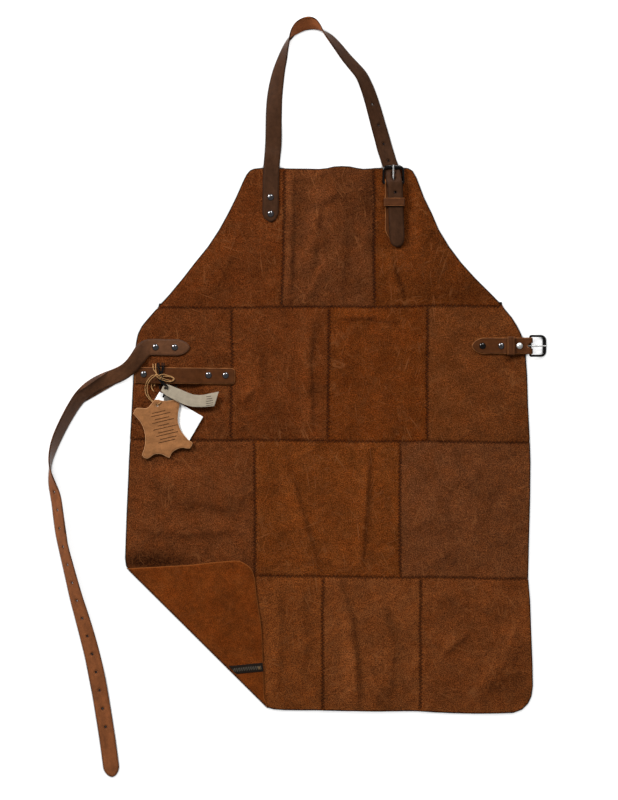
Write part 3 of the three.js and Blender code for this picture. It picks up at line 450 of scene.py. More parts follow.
def distance_to(line, pts, closed=True):
    """Distance of each point from a polyline."""
    best = np.full(len(pts), 1e9)
    n = len(line)
    for i in range(n if closed else n - 1):
        a, b = np.array(line[i]), np.array(line[(i + 1) % n])
        d = b - a
        q = np.clip(((pts - a) @ d) / max(d @ d, 1e-12), 0, 1)
        best = np.minimum(best, np.linalg.norm(pts - a - q[:, None] * d, axis=1))
    return best


def signed_area(poly):
    x, y = poly[:, 0], poly[:, 1]
    return 0.5 * float(np.sum(x * np.roll(y, -1) - np.roll(x, -1) * y))


def triangulate(outline, holes, step, ring, seed=3, grid=None):
    """Points and triangles of a flat piece. Loop points come first, then a ring of points just inside each loop."""
    rng = np.random.default_rng(seed)
    loops = [outline if signed_area(outline) > 0 else outline[::-1]]
    loops += [h if signed_area(h) < 0 else h[::-1] for h in holes]
    rings = []
    for lp in loops:
        d = np.roll(lp, -1, 0) - np.roll(lp, 1, 0)
        d /= np.maximum(np.linalg.norm(d, axis=1), 1e-9)[:, None]
        rings.append(lp + np.stack([-d[:, 1], d[:, 0]], 1) * ring)
    lo, hi = outline.min(0), outline.max(0)
    if grid is None:
        gx, gy = np.meshgrid(np.arange(lo[0], hi[0], step), np.arange(lo[1], hi[1], step * 0.866))
        gx = gx + (np.arange(gx.shape[0]) % 2)[:, None] * step * 0.5
        inner = np.stack([gx.ravel(), gy.ravel()], 1)
        inner += rng.uniform(-0.12, 0.12, inner.shape) * step
    else:
        inner = grid
    inner = inner[is_inside(outline, inner)]
    for lp in loops:
        inner = inner[distance_to(lp, inner) > ring + 0.45 * step]
    for h in holes:
        inner = inner[~is_inside(h, inner)]
    verts = np.concatenate(loops + rings + [inner])
    edges, at = [], 0
    for lp in loops:
        edges += [(at + i, at + (i + 1) % len(lp)) for i in range(len(lp))]
        at += len(lp)
    out = delaunay_2d_cdt([Vector(v) for v in verts.tolist()], edges, [], 0, 1e-5, True)
    pts = np.array([(v.x, v.y) for v in out[0]])
    tri = np.array([f for f in out[2] if len(f) == 3], int)
    centre = pts[tri].mean(1)
    keep = is_inside(loops[0], centre)
    for h in loops[1:]:
        keep &= ~is_inside(h, centre)
    tri = tri[keep]
    a, b, c = pts[tri[:, 0]], pts[tri[:, 1]], pts[tri[:, 2]]
    area = (b[:, 0] - a[:, 0]) * (c[:, 1] - a[:, 1]) - (b[:, 1] - a[:, 1]) * (c[:, 0] - a[:, 0])
    tri[area < 0] = tri[area < 0][:, ::-1]
    return pts, tri, loops


def mesh_object(name, co, faces, material, uv=None, attributes=None, sharp=50.0):
    me = bpy.data.meshes.new(name)
    me.from_pydata((np.asarray(co) * MM).tolist(), [], faces.tolist() if isinstance(faces, np.ndarray) else faces)
    me.validate()
    for k, v in (attributes or {}).items():
        v = np.asarray(v, float)
        if v.ndim == 1:
            me.attributes.new(k, "FLOAT", "POINT").data.foreach_set("value", v.astype(np.float32))
        else:
            me.attributes.new(k, "FLOAT_COLOR", "POINT").data.foreach_set("color", np.concatenate([v, np.ones((len(v), 1))], 1).astype(np.float32).ravel())
    if uv is not None:
        layer = me.uv_layers.new(name="flat")
        idx = np.zeros(len(me.loops), np.int32)
        me.loops.foreach_get("vertex_index", idx)
        layer.data.foreach_set("uv", (np.asarray(uv, float)[idx] * MM).astype(np.float32).ravel())
    me.shade_smooth()
    if sharp:
        me.set_sharp_from_angle(angle=math.radians(sharp))
    me.materials.append(material)
    o = bpy.data.objects.new(name, me)
    scene.collection.objects.link(o)
    return o


def sheet(name, outline, fmap, thickness, material, holes=(), step=4.0, ring=0.5, edge=None, flat_edge=None, low_edge=None, attributes=None, uvmap=None, seed=3, side_of=None, grid=None, sharp=60.0):
    """A piece cut from a flat sheet. fmap((n, 2) points, offsets) places points that lie off the middle surface by the offsets.
    edge is how much of the thickness is rounded off along its outline, and flat_edge(points) says where it isn't."""
    pts, tri, loops = triangulate(np.asarray(outline, float), [np.asarray(h, float) for h in holes], step, ring, seed, grid)
    n = len(pts)
    edge = thickness * 0.22 if edge is None else edge
    d = np.full(n, 1e9)
    for lp in loops:
        d = np.minimum(d, distance_to(lp, pts))
    border = d < ring * 0.3
    cut = np.where(border, edge, 0.0)
    if flat_edge is not None:
        cut = np.where(flat_edge(pts), 0.0, cut)
    if low_edge is not None:
        cut = np.where(low_edge(pts), cut * 0.4, cut)
    top = fmap(pts, thickness / 2 - cut)
    low = fmap(pts, -thickness / 2 + cut)
    faces = tri.tolist() + (tri[:, ::-1] + n).tolist()
    # walls along the edges that only one triangle has
    e = np.concatenate([tri[:, [0, 1]], tri[:, [1, 2]], tri[:, [2, 0]]])
    seen = {}
    for a, b in e.tolist():
        seen[(a, b)] = True
    for a, b in seen:
        if (b, a) not in seen:
            faces.append((b, a, a + n, b + n))
    at = dict(attributes(pts) if attributes else {})
    at.setdefault("rim", border.astype(float))
    at["inset"] = np.minimum(d, 50)
    both = {k: np.concatenate([v, v]) for k, v in at.items()}
    both["side"] = np.concatenate([np.ones(n), np.zeros(n)])
    uv = pts if uvmap is None else uvmap(pts)
    o = mesh_object(name, np.concatenate([top, low]), faces, material, np.concatenate([uv, uv]), both, sharp)
    return o, abs(signed_area(loops[0])) - sum(abs(signed_area(h)) for h in loops[1:])


def frames_along(path, closed=False, up=(0, 0, 1)):
    p = np.asarray(path, float)
    if closed:
        t = np.roll(p, -1, 0) - np.roll(p, 1, 0)
    else:
        t = np.gradient(p, axis=0)
    t /= np.maximum(np.linalg.norm(t, axis=1), 1e-9)[:, None]
    a = np.zeros_like(p)
    ref = np.array(up, float)
    prev = None
    for i in range(len(p)):
        v = ref if prev is None else prev
        v = v - t[i] * (v @ t[i])
        if np.linalg.norm(v) < 1e-6:
            v = np.array([1.0, 0.3, 0.1])
            v = v - t[i] * (v @ t[i])
        prev = a[i] = v / np.linalg.norm(v)
    return p, t, a, np.cross(t, a)


def sweep(name, path, section, material, closed=False, up=(0, 0, 1), scale=None, twist=0.0, sharp=40.0, caps=True):
    """The section, points (across, up), carried along the path. scale gives a factor pair for each path point."""
    p, t, a, b = frames_along(path, closed, up)
    sec = np.asarray(section, float)
    m, n = len(sec), len(p)
    run = np.concatenate([[0], np.cumsum(np.linalg.norm(np.diff(p, axis=0), axis=1))])
    co = []
    for i in range(n):
        s = sec * (scale[i] if scale is not None else 1.0)
        if twist:
            w = twist * run[i]
            s = s @ np.array([[math.cos(w), math.sin(w)], [-math.sin(w), math.cos(w)]])
        co.append(p[i] + s[:, :1] * b[i] + s[:, 1:] * a[i])
    faces = []
    for i in range(n if closed else n - 1):
        j = (i + 1) % n
        for k in range(m):
            l = (k + 1) % m
            faces.append((i * m + k, i * m + l, j * m + l, j * m + k))
    if not closed and caps:
        faces.append(tuple(range(m))[::-1])
        faces.append(tuple((n - 1) * m + k for k in range(m)))
    uv = np.array([[run[i], k / m * 4.0] for i in range(n) for k in range(m)])
    o = mesh_object(name, np.concatenate(co), faces, material, uv, None, sharp)
    me = o.data
    # faces turned outwards
    import bmesh

    bm = bmesh.new()
    bm.from_mesh(me)
    bmesh.ops.recalc_face_normals(bm, faces=bm.faces)
    bm.to_mesh(me)
    bm.free()
    return o


def ring_section(r, n=12, rx=None):
    return [((rx or r) * math.cos(2 * math.pi * k / n), r * math.sin(2 * math.pi * k / n)) for k in range(n)]


def catmull(points, per=24):
    """The centripetal Catmull-Rom curve through the points."""
    p = np.asarray(points, float)
    p = np.concatenate([[2 * p[0] - p[1]], p, [2 * p[-1] - p[-2]]])
    out = []
    for i in range(1, len(p) - 2):
        p0, p1, p2, p3 = p[i - 1 : i + 3]
        d0, d1, d2 = (max(float(np.sum((q - r) ** 2)) ** 0.25, 1e-4) for q, r in ((p0, p1), (p1, p2), (p2, p3)))
        t1 = ((p1 - p0) / d0 - (p2 - p0) / (d0 + d1) + (p2 - p1) / d1) * d1
        t2 = ((p2 - p1) / d1 - (p3 - p1) / (d1 + d2) + (p3 - p2) / d2) * d1
        for k in range(per):
            t = k / per
            out.append(p1 + t1 * t + (-3 * p1 + 3 * p2 - 2 * t1 - t2) * t * t + (2 * p1 - 2 * p2 + t1 + t2) * t ** 3)
    out.append(p[-2])
    return np.array(out)


class Ribbon:
    """A strap that bends and rolls, as the CAD has it: stations (x, y, base, roll); base is its lower edge's height, or its middle's where middle is set."""

    def __init__(self, stations, width, thickness, per=24):
        pts = []
        for s in stations:
            f = math.radians(s[3])
            z = s[2] if len(s) > 4 else s[2] + width / 2 * abs(math.sin(f)) + thickness / 2 * abs(math.cos(f))
            pts.append((s[0], s[1], z))
        self.p = catmull(pts, per)
        self.run = np.concatenate([[0], np.cumsum(np.linalg.norm(np.diff(self.p, axis=0), axis=1))])
        at = self.run[np.arange(len(pts)) * per]
        even = np.arange(0, self.run[-1] + 0.5, 0.5)
        roll = np.interp(even, at, [s[3] for s in stations])
        k = np.exp(-0.5 * (np.arange(-24, 25) / 9.0) ** 2)
        roll = np.convolve(np.pad(roll, 24, mode="edge"), k / k.sum(), mode="valid")
        self.length = float(self.run[-1])
        self.even = even
        pos = np.stack([np.interp(even, self.run, self.p[:, i]) for i in range(3)], 1)
        pos = np.stack([np.convolve(np.pad(pos[:, i], 6, mode="reflect", reflect_type="odd"), np.ones(13) / 13, mode="valid") for i in range(3)], 1)
        t = np.gradient(pos, axis=0)
        t /= np.linalg.norm(t, axis=1)[:, None]
        w0 = np.cross([0, 0, 1.0], t)
        w0 /= np.linalg.norm(w0, axis=1)[:, None]
        n0 = np.cross(t, w0)
        c, s = np.cos(np.radians(roll))[:, None], np.sin(np.radians(roll))[:, None]
        self.pos, self.across, self.normal = pos, w0 * c - n0 * s, n0 * c + w0 * s

    def pick(self, arr, s):
        return np.stack([np.interp(s, self.even, arr[:, i]) for i in range(3)], 1)

    def __call__(self, pts, off):
        s = pts[:, 0]
        return self.pick(self.pos, s) + self.pick(self.across, s) * pts[:, 1:2] + self.pick(self.normal, s) * np.broadcast_to(off, len(pts))[:, None]

    def where(self, axis, value, after=0.0, before=1e9):
        """Arc length at which the middle line passes a coordinate."""
        ok = (self.even >= after) & (self.even <= before)
        e, c = self.even[ok], self.pos[ok][:, axis]
        return float(e[np.argmin(np.abs(c - value))])


def circle(u, v, r, n=14, ry=None):
    return np.array([(u + r * math.cos(2 * math.pi * k / n), v + (ry or r) * math.sin(2 * math.pi * k / n)) for k in range(n)])


def slot_outline(u, v, half, r, n=8):
    a = [(u + half + r * math.cos(f), v + r * math.sin(f)) for f in np.linspace(-math.pi / 2, math.pi / 2, n)]
    b = [(u - half + r * math.cos(f), v + r * math.sin(f)) for f in np.linspace(math.pi / 2, 3 * math.pi / 2, n)]
    return np.array(a + b)


def place_on(piece, body, nodes=()):
    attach(piece, body)
    if nodes:
        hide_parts(*nodes)
    return piece


# ------------------------------------------------------------------ sizes shared with the CAD
TAPE_T, PANEL_Z0, PANEL_Z1, PANEL_T = 0.6, 0.9, 2.5, 1.6
STRAP_Z0, STRAP_T, STRAP_W, CHAPE_W = 2.8, 2.2, 23.6, 25.0
STRAP_ZC, GAP = STRAP_Z0 + STRAP_T / 2, 0.3
LOOP_Z, BAR_R = 6.9, 1.4
SIDE, NECK = (348.7, 77.3), (143.6, 323.2)
FOLD_A, FOLD_B = np.array((-255.8, -257.3)), np.array((-45.8, -465.8))
FOLD_L = float(np.linalg.norm(FOLD_B - FOLD_A))
FOLD_D = (FOLD_B - FOLD_A) / FOLD_L
FOLD_N = np.array([-FOLD_D[1], FOLD_D[0]])  # towards the apron
SIDE_TILT = 0.23005746284853332

# ------------------------------------------------------------------ cords: twine and string on the tool band
JUTE_D, BLACK_D = 1.5, 1.9
JUTE_ROUTE = [
    (-204.5, -6.8, 8), (-207.2, -9.1, 8.1), (-210.1, -11.6, 7.6), (-210.4, -11.8, 6.4), (-210.8, -11.6, 5.2), (-212.9, -10.1, 4.75), (-217.4, -6.5, 4.8), (-222.8, -1.7, 4.8), (-227.0, 4.9, 4.8), (-228.5, 12.7, 5), (-226.7, 20.8, 8.6),
    (-222.2, 28.6, 10.4), (-216.5, 33.1, 10.9), (-209.9, 33.1, 11.2), (-202.4, 31.6, 12.6), (-193.7, 31.3, 11.4), (-185.9, 28.9, 11.2), (-187.7, 24.7, 11.2), (-194.3, 26.2, 11.4), (-201.8, 28.6, 12.9), (-206.3, 30.4, 13.2), (-209.9, 33.4, 13),
    (-211.9, 39.7, 11.4), (-212.5, 46.0, 10.6), (-212.6, 50.3, 7.2), (-212.8, 46.3, 4.2), (-213.1, 33.7, 4), (-213.5, 20.8, 4.4), (-214.7, 16.9, 6.4),
]
BLACK_ROUTE = [
    (-203.9, 16.4, 4.3), (-203.3, 26.2, 4.1), (-203.0, 38.2, 4), (-202.9, 46.6, 4.3), (-202.7, 51.4, 7.4), (-202.7, 46.6, 10.4), (-202.7, 38.2, 10.7), (-202.4, 27.7, 10.8), (-200.3, 21.7, 11.4), (-196.4, 18.7, 12), (-194.3, 15.7, 12),
    (-195.5, 13.3, 11.8), (-197.9, 13.9, 10.9), (-198.4, 13.7, 9.4), (-199.4, 8.5, 7.2), (-200.6, 3.1, 5.6), (-200.9, 1.3, 4.4), (-200.9, 1.3, 3.2),
]
# a second turn of each over the band, seen beside the first
JUTE_B_ROUTE = [
    (-210.2, 34.6, 14.3), (-212.6, 37.9, 12.6), (-215.5, 41.8, 11.2), (-216.2, 46.0, 10.6), (-216.5, 49.9, 7.6), (-216.8, 46.0, 4.3), (-217.4, 35.2, 3.9), (-218.0, 23.2, 4), (-218.9, 16.6, 4.6), (-217.4, 11.9, 5.6), (-214.7, 8.9, 6.3),
]
BLACK_B_ROUTE = [
    (-205.4, 28.3, 11.6), (-206.8, 35.2, 11), (-207.2, 42.7, 10.6), (-207.4, 46.7, 10.3), (-207.5, 51.2, 7.4), (-207.5, 46.6, 4.4), (-207.4, 35.2, 4), (-207.2, 23.2, 4.1), (-206.9, 17.2, 4.6), (-206.3, 12.4, 5.4),
]


JUTE_C_ROUTE = [
    (-208.4, 34.3, 14.4), (-213.2, 31.9, 14), (-219.2, 27.4, 12), (-223.7, 20.8, 9.2), (-225.2, 12.7, 6.4), (-224.0, 4.6, 5), (-219.8, -2.6, 4.9), (-214.4, -8.3, 5), (-212.6, -10.7, 5),
]
JUTE_D_ROUTE = [
    (-209.3, 31.6, 14.8), (-202.7, 34.6, 13.2), (-195.2, 33.1, 11.4), (-187.4, 30.7, 11), (-184.4, 27.7, 11), (-186.2, 25.3, 11.2), (-192.2, 23.5, 11.2), (-199.7, 25.3, 11.6), (-206.9, 28.3, 13.4), (-210.5, 31.0, 14.6),
]
BLACK_C_ROUTE = [
    (-200.6, 21.1, 4.6), (-200.0, 33.7, 4.2), (-199.9, 46.6, 4.3), (-200.0, 51.2, 7.4), (-200.3, 46.6, 10.5), (-201.5, 39.7, 10.8), (-205.4, 35.5, 11.2), (-208.4, 30.1, 11.6), (-206.0, 24.4, 11.4), (-200.6, 19.6, 11.6), (-196.7, 16.9, 12.6),
]
BLACK_D_ROUTE = [
    (-204.8, 31.3, 11.8), (-199.4, 26.8, 11.6), (-193.4, 24.4, 9.8), (-185.9, 22.6, 7.4), (-181.1, 18.4, 5.6), (-184.1, 14.8, 5.4), (-191.9, 16.0, 6.6), (-197.6, 19.0, 8.4), (-202.4, 23.8, 10.2), (-206.9, 28.0, 11.4),
]
BLACK_E_ROUTE = [
    (-209.5, 21.7, 4.4), (-209.9, 35.2, 4.2), (-209.9, 46.9, 4.5), (-209.5, 51.4, 7.6), (-209.3, 46.6, 10.4), (-206.9, 40.6, 12.6), (-203.6, 36.4, 12.6), (-202.4, 30.7, 12.8), (-204.8, 25.6, 12.6), (-202.4, 19.3, 11.6),
]


def cord(name, route, diameter, material, body, nodes, lobes=3, turn=0.9, per=10):
    path = catmull(route, per)
    sec = []
    m = 12
    for k in range(m):
        f = 2 * math.pi * k / m
        r = diameter / 2 * (0.90 + 0.10 * math.cos(lobes * f))
        sec.append((r * math.cos(f), r * math.sin(f)))
    o = sweep(name, path, sec, material, twist=turn, sharp=0)
    place_on(o, body, nodes)
    length = float(np.linalg.norm(np.diff(path, axis=0), axis=1).sum()) * MM
    return o, length


lengths = {}
_, lengths["jute"] = cord("jute_bow", JUTE_ROUTE, JUTE_D, JUTE, "apron", ("jute_twine",), 3, 1.1)
_, lengths["jute_b"] = cord("jute_second_turn", JUTE_B_ROUTE, JUTE_D, JUTE, "apron", (), 3, 1.1)
_, lengths["black"] = cord("black_tag_string", BLACK_ROUTE, BLACK_D, STRING, "apron", ("black_string",), 4, 0.8)
_, lengths["jute_c"] = cord("jute_left_strand", JUTE_C_ROUTE, JUTE_D, JUTE, "apron", (), 3, 1.1)
_, lengths["jute_d"] = cord("jute_bow_strand", JUTE_D_ROUTE, JUTE_D, JUTE, "apron", (), 3, 1.1)
_, lengths["black_c"] = cord("black_third_turn", BLACK_C_ROUTE, BLACK_D, STRING, "apron", (), 4, 0.8)
_, lengths["black_d"] = cord("black_loop", BLACK_D_ROUTE, BLACK_D, STRING, "apron", (), 4, 0.8)
_, lengths["black_e"] = cord("black_fourth_turn", BLACK_E_ROUTE, BLACK_D, STRING, "apron", (), 4, 0.8)
_, lengths["black_b"] = cord("black_second_turn", BLACK_B_ROUTE, BLACK_D, STRING, "apron", (), 4, 0.8)


# ------------------------------------------------------------------ the leather's lie: how far it stands off the table
def gauss_line(x, y, pts, wide, height):
    """A crease: a gentle slope on its upper or left side, a steep one on the other, fading out towards both ends."""
    p = np.stack([x, y], 1)
    line = np.array(pts, float)
    best, side = np.full(len(p), 1e9), np.zeros(len(p))
    for a, b in zip(line[:-1], line[1:]):
        d = b - a
        q = np.clip(((p - a) @ d) / (d @ d), 0, 1)
        v = p - a - q[:, None] * d
        r = np.linalg.norm(v, axis=1)
        sg = d[0] * v[:, 1] - d[1] * v[:, 0]
        if abs(d[0]) > abs(d[1]) and d[0] > 0:
            sg = -sg
        side = np.where(r < best, np.sign(sg), side)
        best = np.minimum(best, r)
    a, b = line[0], line[-1]
    u = ((p - a) @ (b - a)) / max(float((b - a) @ (b - a)), 1e-9)
    fade = np.clip(np.minimum(u + 0.12, 1.12 - u) / 0.3, 0, 1)
    fade = fade * fade * (3 - 2 * fade)
    w = np.where(side > 0, max(wide * 0.55, 2.6), wide * 1.45)
    return height * np.exp(-0.5 * (best / w) ** 2) * fade


RIDGES = [  # line, half width, height
    ([(-9.8, 338.2), (-8.3, 273.7), (-11.3, 146.2)], 4.5, 1.5),
    ([(36.7, 344.2), (53.2, 323.2), (54.7, 296.2)], 13, 2.2),
    ([(32.2, 278.2), (24.7, 228.7), (23.2, 197.2)], 7, 1.7),
    ([(8.2, 140.2), (27.7, 176.2), (44.2, 209.2)], 5, 1.0),
    ([(65.2, 303.7), (69.7, 236.2), (60.7, 152.2)], 14, 1.8),
    ([(120.7, 257.2), (140.2, 203.2), (161.2, 140.2)], 5, 2.0),
    ([(176.2, 296.2), (201.7, 228.7), (215.2, 161.2)], 16, 1.6),
    ([(-98.3, 221.2), (-123.8, 168.7), (-153.8, 146.2)], 16, 1.4),
    ([(60.7, 119.2), (102.7, 120.7), (150.7, 114.7)], 4.5, 1.1),
    ([(24.7, 116.2), (17.2, 56.2), (20.2, -48.8)], 6, 1.4),
    ([(-71.3, 101.2), (-53.3, 26.2), (-26.3, -41.3)], 12, 1.3),
    ([(-81.8, -3.8), (-62.3, 14.2), (-44.3, -6.8)], 6, 0.9),
    ([(221.2, 101.2), (236.2, 26.2), (270.7, -51.8)], 15, 1.3),
    ([(120.7, 3.7), (138.7, -18.8), (147.7, -51.8)], 8, 1.1),
    ([(-27.8, -72.8), (-8.3, -123.8), (12.7, -198.8), (30.7, -258.8)], 7, 1.9),
    ([(107.2, -69.8), (102.7, -153.8), (93.7, -258.8)], 6, 1.8),
    ([(168.7, -108.8), (213.7, -153.8), (231.7, -243.8)], 16, 1.6),
    ([(228.7, -78.8), (246.7, -123.8), (288.7, -153.8)], 9, 1.1),
    ([(-221.3, -108.8), (-161.3, -153.8), (-89.3, -161.3)], 15, 1.7),
    ([(-236.3, -195.8), (-176.3, -203.3), (-92.3, -198.8)], 9, 1.6),
    ([(59.2, -276.8), (78.7, -330.8), (86.2, -393.8), (89.2, -462.8)], 8, 2.6),
    ([(5.2, -276.8), (9.7, -363.8), (0.7, -453.8)], 10, 1.2),
    ([(-32.3, -281.3), (-27.8, -363.8), (-32.3, -453.8)], 9, 0.8),
    ([(123.7, -303.8), (141.7, -378.8), (132.7, -453.8)], 10, 1.6),
    ([(111.7, -417.8), (126.7, -444.8), (141.7, -465.8)], 5, 1.2),
    ([(198.7, -363.8), (224.2, -378.8), (258.7, -351.8)], 6, 1.2),
    ([(198.7, -303.8), (243.7, -297.8), (303.7, -321.8)], 10, 1.2),
    ([(273.7, -438.8), (311.2, -393.8), (336.7, -333.8)], 13, 1.4),
]
KEEP_FLAT = [  # boxes that carry hardware: x0, y0, x1, y1
    (-54.8, 257.2, -24.8, 356.2),
    (122.2, 219.7, 165.7, 356.2),
    (255.7, 59.2, 378.7, 96.7),
    (-254.3, 59.2, -155.3, 95.2),
    (-254.3, 17.2, -89.3, 53.2),
    (-251.3, -96.8, -137.3, 18.7),
]


def soft_noise(x, y, scale, seed):
    """Smooth seeded noise, about -1 to 1."""
    r = np.random.default_rng(seed)
    out = np.zeros(len(x))
    for _ in range(14):
        a, f, ph = r.uniform(0, 2 * math.pi), r.uniform(0.6, 1.4) / scale, r.uniform(0, 2 * math.pi)
        out += np.sin((x * math.cos(a) + y * math.sin(a)) * f * 2 * math.pi + ph)
    return out / 4.2


def box_fade(x, y, box, wide):
    dx = np.maximum(np.maximum(box[0] - x, x - box[2]), 0)
    dy = np.maximum(np.maximum(box[1] - y, y - box[3]), 0)
    t = np.clip(np.hypot(dx, dy) / wide, 0, 1)
    return t * t * (3 - 2 * t)


FLAP_PLAN = [(-255.8, -257.8), (-162.8, -251.2), (-111.8, -245.9), (-87.2, -245.3), (-71.8, -254.3), (-65.6, -265.4), (-61.4, -296.3), (-53.6, -351.8), (-51.8, -402.8), (-49.7, -450.8), (-45.8, -465.8)]


def lie(x, y):
    """Height of the leather off its backing, in millimetres."""
    h = 0.45 * (soft_noise(x, y, 95, 1) + 0.5 * soft_noise(x, y, 45, 2)) + 0.5
    h = np.maximum(h, 0.0)
    for line, wide, high in RIDGES:
        h = h + gauss_line(x, y, line, wide, high * 1.5)
    for b in KEEP_FLAT:
        h = h * box_fade(x, y, b, 22)
    p = np.stack([x, y], 1)
    d = np.where(is_inside(FLAP_PLAN, p), 0.0, distance_to(np.array(FLAP_PLAN), p))
    t = np.clip(d / 20, 0, 1)
    return h * t * t * (3 - 2 * t)


def on_table(pts, off):
    z = (PANEL_Z0 + PANEL_Z1) / 2 + np.broadcast_to(off, len(pts)) + lie(pts[:, 0], pts[:, 1])
    return np.stack([pts[:, 0], pts[:, 1], z], 1)


# ------------------------------------------------------------------ seams, as they wander
def wave(t, seed, amount=0.5):
    r = np.random.default_rng(seed)
    return sum(amount / (k + 1) * np.sin(t * r.uniform(0.02, 0.05) * (k + 1) + r.uniform(0, 6.28)) for k in range(4))


H_SEAMS = {"bib": ((-209.3, 133.9), (308.2, 137.2)), "waist": ((-252.8, -63.1), (348.4, -67.7)), "hem": ((-255.2, -265.6), (346.0, -272.0))}
V_SEAMS = {
    "bib_left": ((-18.8, 345.7), (-23.3, 134.2)), "bib_right": ((114.7, 345.7), (115.1, 135.7)),
    "waist_a": ((-98.3, 135.7), (-99.5, -63.8)), "waist_b": ((47.2, 135.7), (46.0, -65.3)), "waist_c": ((195.1, 136.4), (194.2, -66.8)),
    "thigh_a": ((-64.4, -63.8), (-63.5, -267.8)), "thigh_b": ((153.4, -66.8), (154.0, -270.1)),
    "hem_a": ((-105.1, -266.3), (-105.1, -408.8)), "hem_b": ((38.5, -268.6), (37.6, -470.3)), "hem_c": ((184.9, -270.2), (184.0, -471.8)),
}


def h_y(name, x):
    (x0, y0), (x1, y1) = H_SEAMS[name]
    x = np.asarray(x, float)
    return y0 + (y1 - y0) * (x - x0) / (x1 - x0) + wave(x, len(name) * 7 + 1, 0.45)


def v_x(name, y):
    (x0, y0), (x1, y1) = V_SEAMS[name]
    y = np.asarray(y, float)
    return x0 + (x1 - x0) * (y - y0) / (y1 - y0) + wave(y, sum(map(ord, name)), 0.4)


def seam_points(kind, name, a, b, step=4.0):
    k = max(2, int(abs(b - a) / step) + 1)
    t = np.linspace(a, b, k)
    return np.stack([t, h_y(name, t)], 1) if kind == "h" else np.stack([v_x(name, t), t], 1)


def crossing(h, v):
    x = V_SEAMS[v][0][0]
    for _ in range(6):
        y = float(h_y(h, x))
        x = float(v_x(v, y))
    return x, y


# ------------------------------------------------------------------ outlines of the apron, from the neck edge down
LEFT_BIB = [(-53.3, 344.2), (-65.3, 343.0), (-71.3, 340.3), (-76.6, 334.0), (-81.8, 323.6), (-92.3, 299.6), (-104.3, 275.5), (-117.8, 250.9), (-134.3, 226.1), (-153.8, 202.1), (-171.8, 178.9), (-191.3, 155.2), (-206.3, 138.7)]
TOP_EDGE = [(117.7, 343.9), (110.2, 343.3), (98.2, 342.7), (87.7, 344.3), (78.7, 346.3), (66.7, 346.9), (54.7, 346.3), (44.2, 343.9), (32.2, 342.7), (12.7, 343.0), (-11.3, 343.3), (-21.8, 343.4), (-38.3, 343.6)]
RIGHT_BIB = [(153.7, 344.8), (165.7, 343.9), (172.4, 340.0), (178.4, 329.5), (189.7, 299.8), (201.7, 275.6), (212.2, 251.0), (227.2, 226.3), (245.2, 202.3), (266.2, 179.0), (290.2, 155.2), (305.2, 139.6)]
LEFT_2 = [(-212.3, 131.9), (-222.8, 119.9), (-233.3, 107.2), (-239.3, 95.2), (-241.9, 83.2), (-243.4, 68.2), (-244.9, 47.2), (-246.8, 20.2), (-248.8, -21.8), (-251.0, -60.8)]
RIGHT_2 = [(311.2, 131.9), (321.7, 119.2), (329.2, 107.2), (335.2, 95.2), (339.7, 81.7), (341.9, 65.2), (344.2, 35.2), (345.7, -12.8), (348.1, -60.8)]
LEFT_3 = [(-251.3, -68.3), (-252.8, -96.8), (-254.3, -132.8), (-256.1, -171.8), (-257.6, -213.8), (-258.5, -240.8), (-257.0, -252.8), (-255.5, -257.6)]
RIGHT_3 = [(348.4, -68.3), (349.3, -96.8), (348.7, -153.8), (347.2, -207.8), (346.0, -263.3)]
RIGHT_4 = [(346.1, -273.8), (348.7, -303.8), (350.5, -351.8), (352.3, -399.8), (352.9, -432.8), (350.9, -447.8), (345.7, -459.1), (336.7, -468.1), (323.2, -473.0), (300.7, -473.8)]
BOTTOM = [(267.7, -474.1), (231.7, -473.3), (204.7, -472.1), (183.7, -470.3), (161.2, -470.3), (123.7, -470.9), (74.2, -470.3), (38.2, -469.1), (9.7, -469.1), (-18.8, -468.8), (-35.3, -467.6)]

IN = 1.9  # where the turned-over corner's bend begins, inside the fold
half = 0.08


def fold_point(s, p):
    return FOLD_A + FOLD_D * s + FOLD_N * p


def fold_at_x(x, p=IN):
    """The point of the line p inside the fold that has this x."""
    s = (x - FOLD_A[0] - FOLD_N[0] * p) / FOLD_D[0]
    return fold_point(s, p)


def fold_at_y(y, p=IN):
    s = (y - FOLD_A[1] - FOLD_N[1] * p) / FOLD_D[1]
    return fold_point(s, p)


def shrink(line, dx=0.0, dy=0.0):
    return [np.array(q, float) + (dx, dy) for q in line]


def cut_v(name, top, bottom, shift):
    """Down a vertical seam from y top to y bottom, shifted sideways by half the seam's gap."""
    return shrink(seam_points("v", name, top, bottom), shift)


def cut_h(name, x0, x1, shift):
    return shrink(seam_points("h", name, x0, x1), 0, shift)


def below(h, v, side):
    x, y = crossing(h, v)
    return x + side * half, y


SEAM_LINES = []
xb1, yb1 = crossing("bib", "bib_left")
xb2, yb2 = crossing("bib", "bib_right")
wa, wb, wc = (crossing("bib", v) for v in ("waist_a", "waist_b", "waist_c"))
wa2, wb2, wc2 = (crossing("waist", v) for v in ("waist_a", "waist_b", "waist_c"))
ta, tb = (crossing("waist", v) for v in ("thigh_a", "thigh_b"))
ta2, tb2 = (crossing("hem", v) for v in ("thigh_a", "thigh_b"))
ha, hb, hc = (crossing("hem", v) for v in ("hem_a", "hem_b", "hem_c"))
hem_start = None
for k in range(400):
    s = k * 0.5
    q = fold_point(s, IN)
    if q[1] <= float(h_y("hem", q[0])):
        hem_start = q
        break

